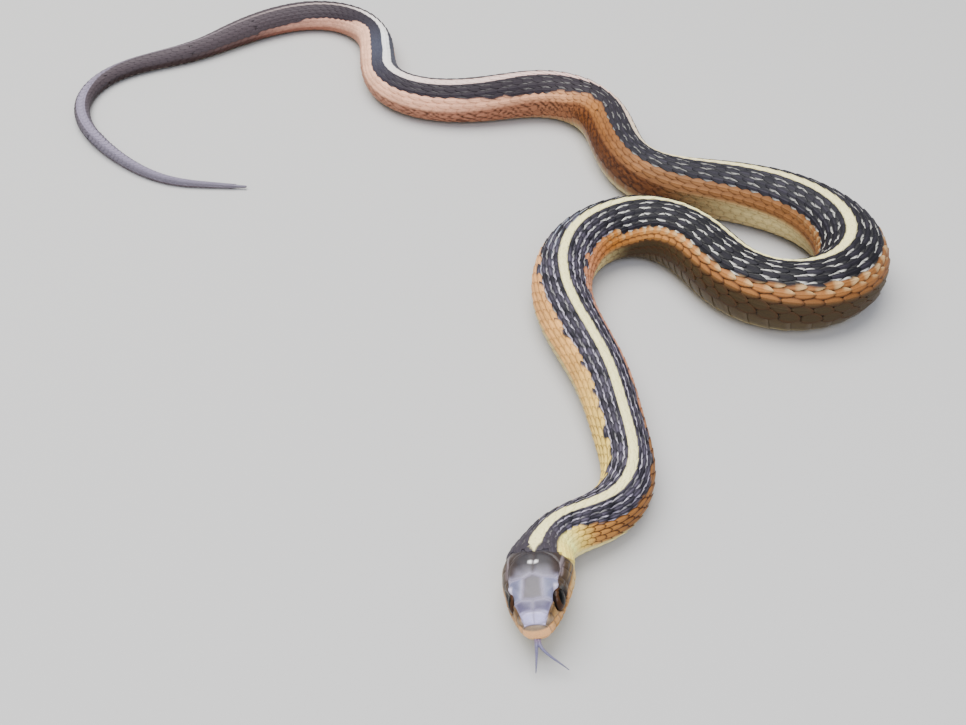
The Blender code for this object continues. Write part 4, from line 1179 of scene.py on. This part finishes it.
def make_scales(name, roots, draw, leaf, material, sizes, tints):
    """The coat of one stretch of the body, as one plain mesh."""
    station, angle, spacing, pitch, flecked = roots.T
    sink = -SCALE_SINK + 0.04 * blend(np.abs(angle), 100.0, 124.0)
    here, x, y, z, stretch, spread = frames_on_skin(station, angle, pitch, sink)
    lift = math.radians(SCALE_LIFT)
    y_up = y * math.cos(lift) + z * math.sin(lift)
    z_up = z * math.cos(lift) - y * math.sin(lift)
    wide = spread * spacing * (1.0 + 0.22 * blend(np.abs(angle), 80.0, 125.0)) * LEAF_SPREAD
    long = pitch * np.clip(stretch, *SCALE_STRETCH)
    half = smooth(station, GIRTH) / 2.0
    keel = (1.0 - 0.55 * blend(np.abs(angle), 85.0, 120.0)) * np.clip(half / 4.5, 0.4, 1.15)
    cloud = bpy.data.meshes.new(name)
    cloud.from_pydata(((here - y * long[:, None] * LEAF_BACK) * MM).tolist(), [], [])
    for title, value in (
        ("station", station), ("angle", angle), ("draw", draw), ("flecked", flecked),
    ):
        give_values(cloud, title, value)
    for title, value in (
        ("turn", euler_of(x, y_up, z_up)),
        ("size", np.stack([wide * MM, long * MM, keel], axis=1)),
    ):
        layer = cloud.attributes.new(title, "FLOAT_VECTOR", "POINT")
        layer.data.foreach_set("vector", value.astype(np.float32).ravel())
    holder = bpy.data.objects.new(name, cloud)
    bpy.context.scene.collection.objects.link(holder)
    modifier = holder.modifiers.new("scales", "NODES")
    modifier.node_group = scale_tree(leaf, material)
    values = {
        "Breadth": sizes.breadth, "Overlap": sizes.overlap, "Thickness": sizes.thickness,
        "Jitter": sizes.jitter, "Seed": sizes.seed,
    }
    for item in modifier.node_group.interface.items_tree:
        if item.in_out == "INPUT" and item.name in values:
            modifier[item.identifier] = values[item.name]
    bpy.context.view_layer.update()
    graph = bpy.context.evaluated_depsgraph_get()
    mesh = bpy.data.meshes.new_from_object(holder.evaluated_get(graph))
    bpy.data.objects.remove(holder, do_unlink=True)
    mesh.name = name
    at, turned = read_values(mesh, "station"), read_values(mesh, "angle")
    across, along = read_values(mesh, "leaf_across"), read_values(mesh, "leaf_along")
    chance, fleck = read_values(mesh, "draw"), read_values(mesh, "flecked")
    order = np.argsort(station)
    step = np.interp(at, station[order], pitch[order])
    arc = np.interp(at, station[order], spacing[order])
    aside = across * np.interp(along, LEAF_ALONG, LEAF_WIDTH) * LEAF_REACH * arc
    shade = body_marking(
        at + (along * sizes.overlap - LEAF_BACK) * step, turned + aside, turned, chance, across,
        along, fleck, sizes, tints,
    )
    give_colours(mesh, "marking", shade)
    give_patches(mesh, at, turned, across, along)
    mesh.shade_smooth()
    as_piece(name, mesh, material)


def scute_stations():
    """Stations at which the belly plates start."""
    stations = [SCUTE_START]
    while stations[-1] < SCALES_END - 2.0:
        stations.append(stations[-1] + float(smooth(stations[-1], SCALE_PITCH)))
    return stations


def make_scutes(tints):
    """The belly plates: one for each step of the scales, split in two under the tail."""
    stations = scute_stations()
    tail = SCALE_ROWS[1][0]
    profile = ((-0.35, -0.12), (0.15, -0.085), (0.7, -0.03), (1.0, 0.0), (1.02, -0.05), (0.3, -0.12))
    vertices, faces, marks = [], [], []
    for start, end in zip(stations, stations[1:]):
        pitch = end - start
        if start < tail:
            spans = [(SCUTE_EDGE, 360.0 - SCUTE_EDGE)]
        else:
            inner, outer = 180.0 - SCUTE_SPLIT, SCUTE_EDGE + SCUTE_TAIL_INSET
            spans = [(outer, inner), (360.0 - inner, 360.0 - outer)]
        for low, high in spans:
            first = len(vertices)
            count = 15 if start < tail else 7
            angles = np.linspace(low, high, count)
            for angle in angles:
                bow = 0.25 * pitch * abs(angle - 180.0) / 60.0
                edge = 1.0 - blend(min(angle - low, high - angle), 0.0, 6.0)
                for share, proud in profile:
                    at = start + pitch * share - bow
                    vertices.append(skin_point(at, angle - lean(at), proud - 0.04 * edge))
                    marks.append((at, angle, share, (angle - low) / (high - low) * 2.0 - 1.0))
            size = len(profile)
            for i in range(count - 1):
                for j in range(size):
                    a, b = first + i * size + j, first + i * size + (j + 1) % size
                    faces.append((a, b, b + size, a + size))
            faces.append(tuple(first + j for j in range(size)))
            faces.append(tuple(first + (count - 1) * size + j for j in reversed(range(size))))
    mesh = outwards(new_mesh("belly_plates", np.array(vertices), faces))
    at, angle, along, across = np.array(marks).T
    signed = np.where(angle > 180.0, angle - 360.0, angle)
    shade = np.broadcast_to(np.array(tints.belly), (len(at), 3))
    shade = mix(shade, flank_colour(at, signed > 0.0), blend(np.abs(across), 0.7, 1.0) * 0.6)
    # At the rear the plates' sides take the flank's colour, darkened as painted shade.
    rear = blend(at, 176.0, 200.0) * blend(np.abs(across), 0.3, 0.7)
    shade = mix(shade, flank_colour(at, signed > 0.0) * 0.7, rear)
    arch = arch_share(at)
    # Painted shade: the plates on the arch turn dark brown.
    shade = mix(shade, colour("2a190f"), 0.92 * arch * blend(np.abs(across), 0.1, 0.5))
    shade = mix(shade, colour("f2e6a8"), 0.5 * (1.0 - blend(at, 15.0, 45.0)))
    shade = mix(shade, colour("6f6670"), blend(at, 330.0, 370.0) * 0.8)
    shade = mix(shade, colour("6b5f4e"), 0.35 * blend(along, 0.85, 1.0))
    give_colours(mesh, "marking", shade)
    give_patches(mesh, at, signed, across * 0.5, along)
    as_piece("belly_plates", mesh, scute_material())


def make_eye(side, word):
    """A domed eye with its pupil looking out sideways."""
    here, out, forward = side_frame(EYE_STATION, EYE_LEVEL, side)
    up = np.cross(out, forward)
    lift = math.copysign(1.0, up[2])
    sink = EYE_SINK[0] if side > 0 else EYE_SINK[1]
    work = bmesh.new()
    bmesh.ops.create_uvsphere(work, u_segments=64, v_segments=40, radius=1.0)
    rings = []
    for vertex in work.verts:
        a, b, c = vertex.co
        off = math.hypot(a + PUPIL_BACK, b - PUPIL_LIFT * lift)
        rings.append(RING_SHARE * off if c > 0.0 else 1.0)
        point = here + (forward * a + up * b) * EYE_RADIUS + out * (c * EYE_DEPTH - sink)
        vertex.co = point * MM
    mesh = bpy.data.meshes.new(f"eyeball_{word}")
    bmesh.ops.recalc_face_normals(work, faces=work.faces)
    work.to_mesh(mesh)
    work.free()
    mesh.shade_smooth()
    give_values(mesh, "ring", rings)
    piece = as_piece(f"eyeball_{word}", mesh, eye_material())
    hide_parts(f"eye_{word}")


def strand_mesh(points, name):
    """A tapering tube along one strand of the tongue."""
    data = bpy.data.curves.new(name, "CURVE")
    data.dimensions = "3D"
    data.bevel_depth = STRAND_RADIUS * MM
    data.bevel_resolution = 5
    data.use_fill_caps = True
    spline = data.splines.new("NURBS")
    spline.points.add(len(points) - 1)
    spline.order_u = 3
    spline.use_endpoint_u = True
    spline.resolution_u = 8
    for number, (point, spot) in enumerate(zip(points, spline.points)):
        x, y, z = point
        spot.co = ((x - ROUTE_CENTRE[0]) * MM, (y - ROUTE_CENTRE[1]) * MM, z * MM, 1.0)
        spot.radius = 1.0 - STRAND_TAPER * max(number - 2, 0) / (len(points) - 3)
    tube = bpy.data.objects.new(name, data)
    bpy.context.scene.collection.objects.link(tube)
    bpy.context.view_layer.update()
    graph = bpy.context.evaluated_depsgraph_get()
    mesh = bpy.data.meshes.new_from_object(tube.evaluated_get(graph))
    bpy.data.objects.remove(tube, do_unlink=True)
    return mesh


def make_tongue(tints):
    """The forked tongue: two strands melted together in the stem."""
    work = bmesh.new()
    for number, points in enumerate((LEFT_STRAND, RIGHT_STRAND)):
        work.from_mesh(strand_mesh(points, f"strand_{number}"))
    bmesh.ops.remove_doubles(work, verts=work.verts, dist=1e-7)
    mesh = bpy.data.meshes.new("forked_tongue")
    work.to_mesh(mesh)
    work.free()
    holder = bpy.data.objects.new("tongue_strands", mesh)
    bpy.context.scene.collection.objects.link(holder)
    remesh = holder.modifiers.new("melt", "REMESH")
    remesh.mode = "VOXEL"
    remesh.voxel_size = MELT_VOXEL * MM
    relax = holder.modifiers.new("relax", "SMOOTH")
    relax.iterations = 6
    bpy.context.view_layer.update()
    graph = bpy.context.evaluated_depsgraph_get()
    melted = bpy.data.meshes.new_from_object(holder.evaluated_get(graph))
    bpy.data.objects.remove(holder, do_unlink=True)
    melted.shade_smooth()
    places = np.empty(len(melted.vertices) * 3, np.float32)
    melted.vertices.foreach_get("co", places)
    height = places.reshape(-1, 3)[:, 2] / MM
    shade = np.broadcast_to(np.array(tints.tongue), (len(height), 3))
    shade = mix(shade, colour("3a3748"), 0.55 * (1.0 - blend(height, 1.0, 2.6)))
    shade = mix(shade, colour("7a5e72"), 0.6 * blend(height, 3.5, 4.0))
    give_colours(melted, "marking", shade)
    piece = as_piece("forked_tongue", melted, tongue_material())
    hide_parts("tongue")


# Soft lights: name, place, what each is aimed at, size, power and colour.
LIGHTS = (
    ("overcast", (-0.12, 0.10, 0.60), (0.0, 0.0, 0.0), 0.7, 9.0, "ffffff"),
    ("sky_front", (0.05, -0.45, 0.42), (0.0, -0.05, 0.0), 0.4, 2.6, "e6ebff"),
)
SKY = ("e8edf4", 0.7)


def area_light(name, place, aim, size, power, code):
    """A round lamp that shines from its place at what it is aimed at."""
    data = bpy.data.lights.new(name, "AREA")
    data.shape = "DISK"
    data.size = size
    data.energy = power
    data.color = colour(code)
    light = bpy.data.objects.new(name, data)
    light.location = place
    light.rotation_euler = (Vector(aim) - Vector(place)).to_track_quat("-Z", "Y").to_euler()
    bpy.context.scene.collection.objects.link(light)


def make_stage(tints):
    """A plain floor, soft light from above and the camera at the photo's angle."""
    bpy.ops.mesh.primitive_plane_add(size=4.0, location=(0.0, 0.0, -0.0002))
    floor = bpy.context.object
    floor.name = "floor"
    floor.data.materials.append(floor_material(tints))
    world = bpy.data.worlds.new("soft_sky")
    world.use_nodes = True
    sky = world.node_tree.nodes["Background"]
    sky.inputs["Color"].default_value = colour(SKY[0]) + (1.0,)
    sky.inputs["Strength"].default_value = SKY[1]
    bpy.context.scene.world = world
    for light in LIGHTS:
        area_light(*light)
    data = bpy.data.cameras.new("camera")
    data.sensor_fit = "HORIZONTAL"
    data.sensor_width = 36.0
    data.lens = CAMERA_LENS
    data.clip_start = 0.005
    camera = bpy.data.objects.new("camera", data)
    x, y, z = CAMERA_AT
    camera.location = ((x - ROUTE_CENTRE[0]) * MM, (y - ROUTE_CENTRE[1]) * MM, z * MM)
    camera.rotation_euler = (math.radians(90.0 - CAMERA_PITCH), 0.0, 0.0)
    bpy.context.scene.collection.objects.link(camera)
    bpy.context.scene.camera = camera


class SNAKE_OT_skin(bpy.types.Operator):
    """Make the skin, with the plates of the head, its mouth and nostrils"""

    bl_idname = "snake.skin"
    bl_label = "Skin"

    def execute(self, context):
        make_skin(context.scene.snake_sizes, context.scene.snake_colours)
        return {"FINISHED"}


class SNAKE_OT_scales(bpy.types.Operator):
    """Cover the back and flanks with keeled scales"""

    bl_idname = "snake.scales"
    bl_label = "Scales"

    def execute(self, context):
        sizes, tints = context.scene.snake_sizes, context.scene.snake_colours
        roots = scale_roots()
        draw = np.random.default_rng(sizes.seed).uniform(0.0, 1.0, len(roots))
        leaf, material = leaf_mesh(), horn_material()
        for name, low, high in STRETCHES:
            chosen = (roots[:, 0] >= low) & (roots[:, 0] < high)
            make_scales(f"scales_{name}", roots[chosen], draw[chosen], leaf, material, sizes, tints)
        bpy.data.objects.remove(leaf, do_unlink=True)
        return {"FINISHED"}


class SNAKE_OT_scutes(bpy.types.Operator):
    """Lay the plates of the belly and the paired plates under the tail"""

    bl_idname = "snake.scutes"
    bl_label = "Belly plates"

    def execute(self, context):
        make_scutes(context.scene.snake_colours)
        return {"FINISHED"}


class SNAKE_OT_eyes(bpy.types.Operator):
    """Set both eyes"""

    bl_idname = "snake.eyes"
    bl_label = "Eyes"

    def execute(self, context):
        make_eye(1, "left")
        make_eye(-1, "right")
        return {"FINISHED"}


class SNAKE_OT_tongue(bpy.types.Operator):
    """Make the forked tongue"""

    bl_idname = "snake.tongue"
    bl_label = "Tongue"

    def execute(self, context):
        make_tongue(context.scene.snake_colours)
        return {"FINISHED"}


class SNAKE_OT_stage(bpy.types.Operator):
    """Set the floor, the lights and the camera"""

    bl_idname = "snake.stage"
    bl_label = "Stage"

    def execute(self, context):
        make_stage(context.scene.snake_colours)
        return {"FINISHED"}


OPERATORS = (
    SNAKE_OT_skin, SNAKE_OT_scales, SNAKE_OT_scutes, SNAKE_OT_eyes, SNAKE_OT_tongue, SNAKE_OT_stage,
)


class SNAKE_PT_panel(bpy.types.Panel):
    """Lists the pieces of the snake"""

    bl_idname = "SNAKE_PT_panel"
    bl_label = "Garter snake"
    bl_space_type = "VIEW_3D"
    bl_region_type = "UI"
    bl_category = "Snake"

    def draw(self, context):
        for group in (context.scene.snake_sizes, context.scene.snake_colours):
            for name in group.bl_rna.properties.keys():
                if name not in ("rna_type", "name"):
                    self.layout.prop(group, name)
        for operator in OPERATORS:
            self.layout.operator(operator.bl_idname)


CLASSES = (SnakeSizes, SnakeColours) + OPERATORS + (SNAKE_PT_panel,)


def register():
    for item in CLASSES:
        bpy.utils.register_class(item)
    bpy.types.Scene.snake_sizes = PointerProperty(type=SnakeSizes)
    bpy.types.Scene.snake_colours = PointerProperty(type=SnakeColours)


def unregister():
    del bpy.types.Scene.snake_colours
    del bpy.types.Scene.snake_sizes
    for item in reversed(CLASSES):
        bpy.utils.unregister_class(item)


def main():
    """Makes the stage and all pieces in order."""
    register()
    bpy.ops.snake.stage()
    bpy.ops.snake.skin()
    bpy.ops.snake.scales()
    bpy.ops.snake.scutes()
    bpy.ops.snake.eyes()
    bpy.ops.snake.tongue()


if __name__ == "__main__":
    main()
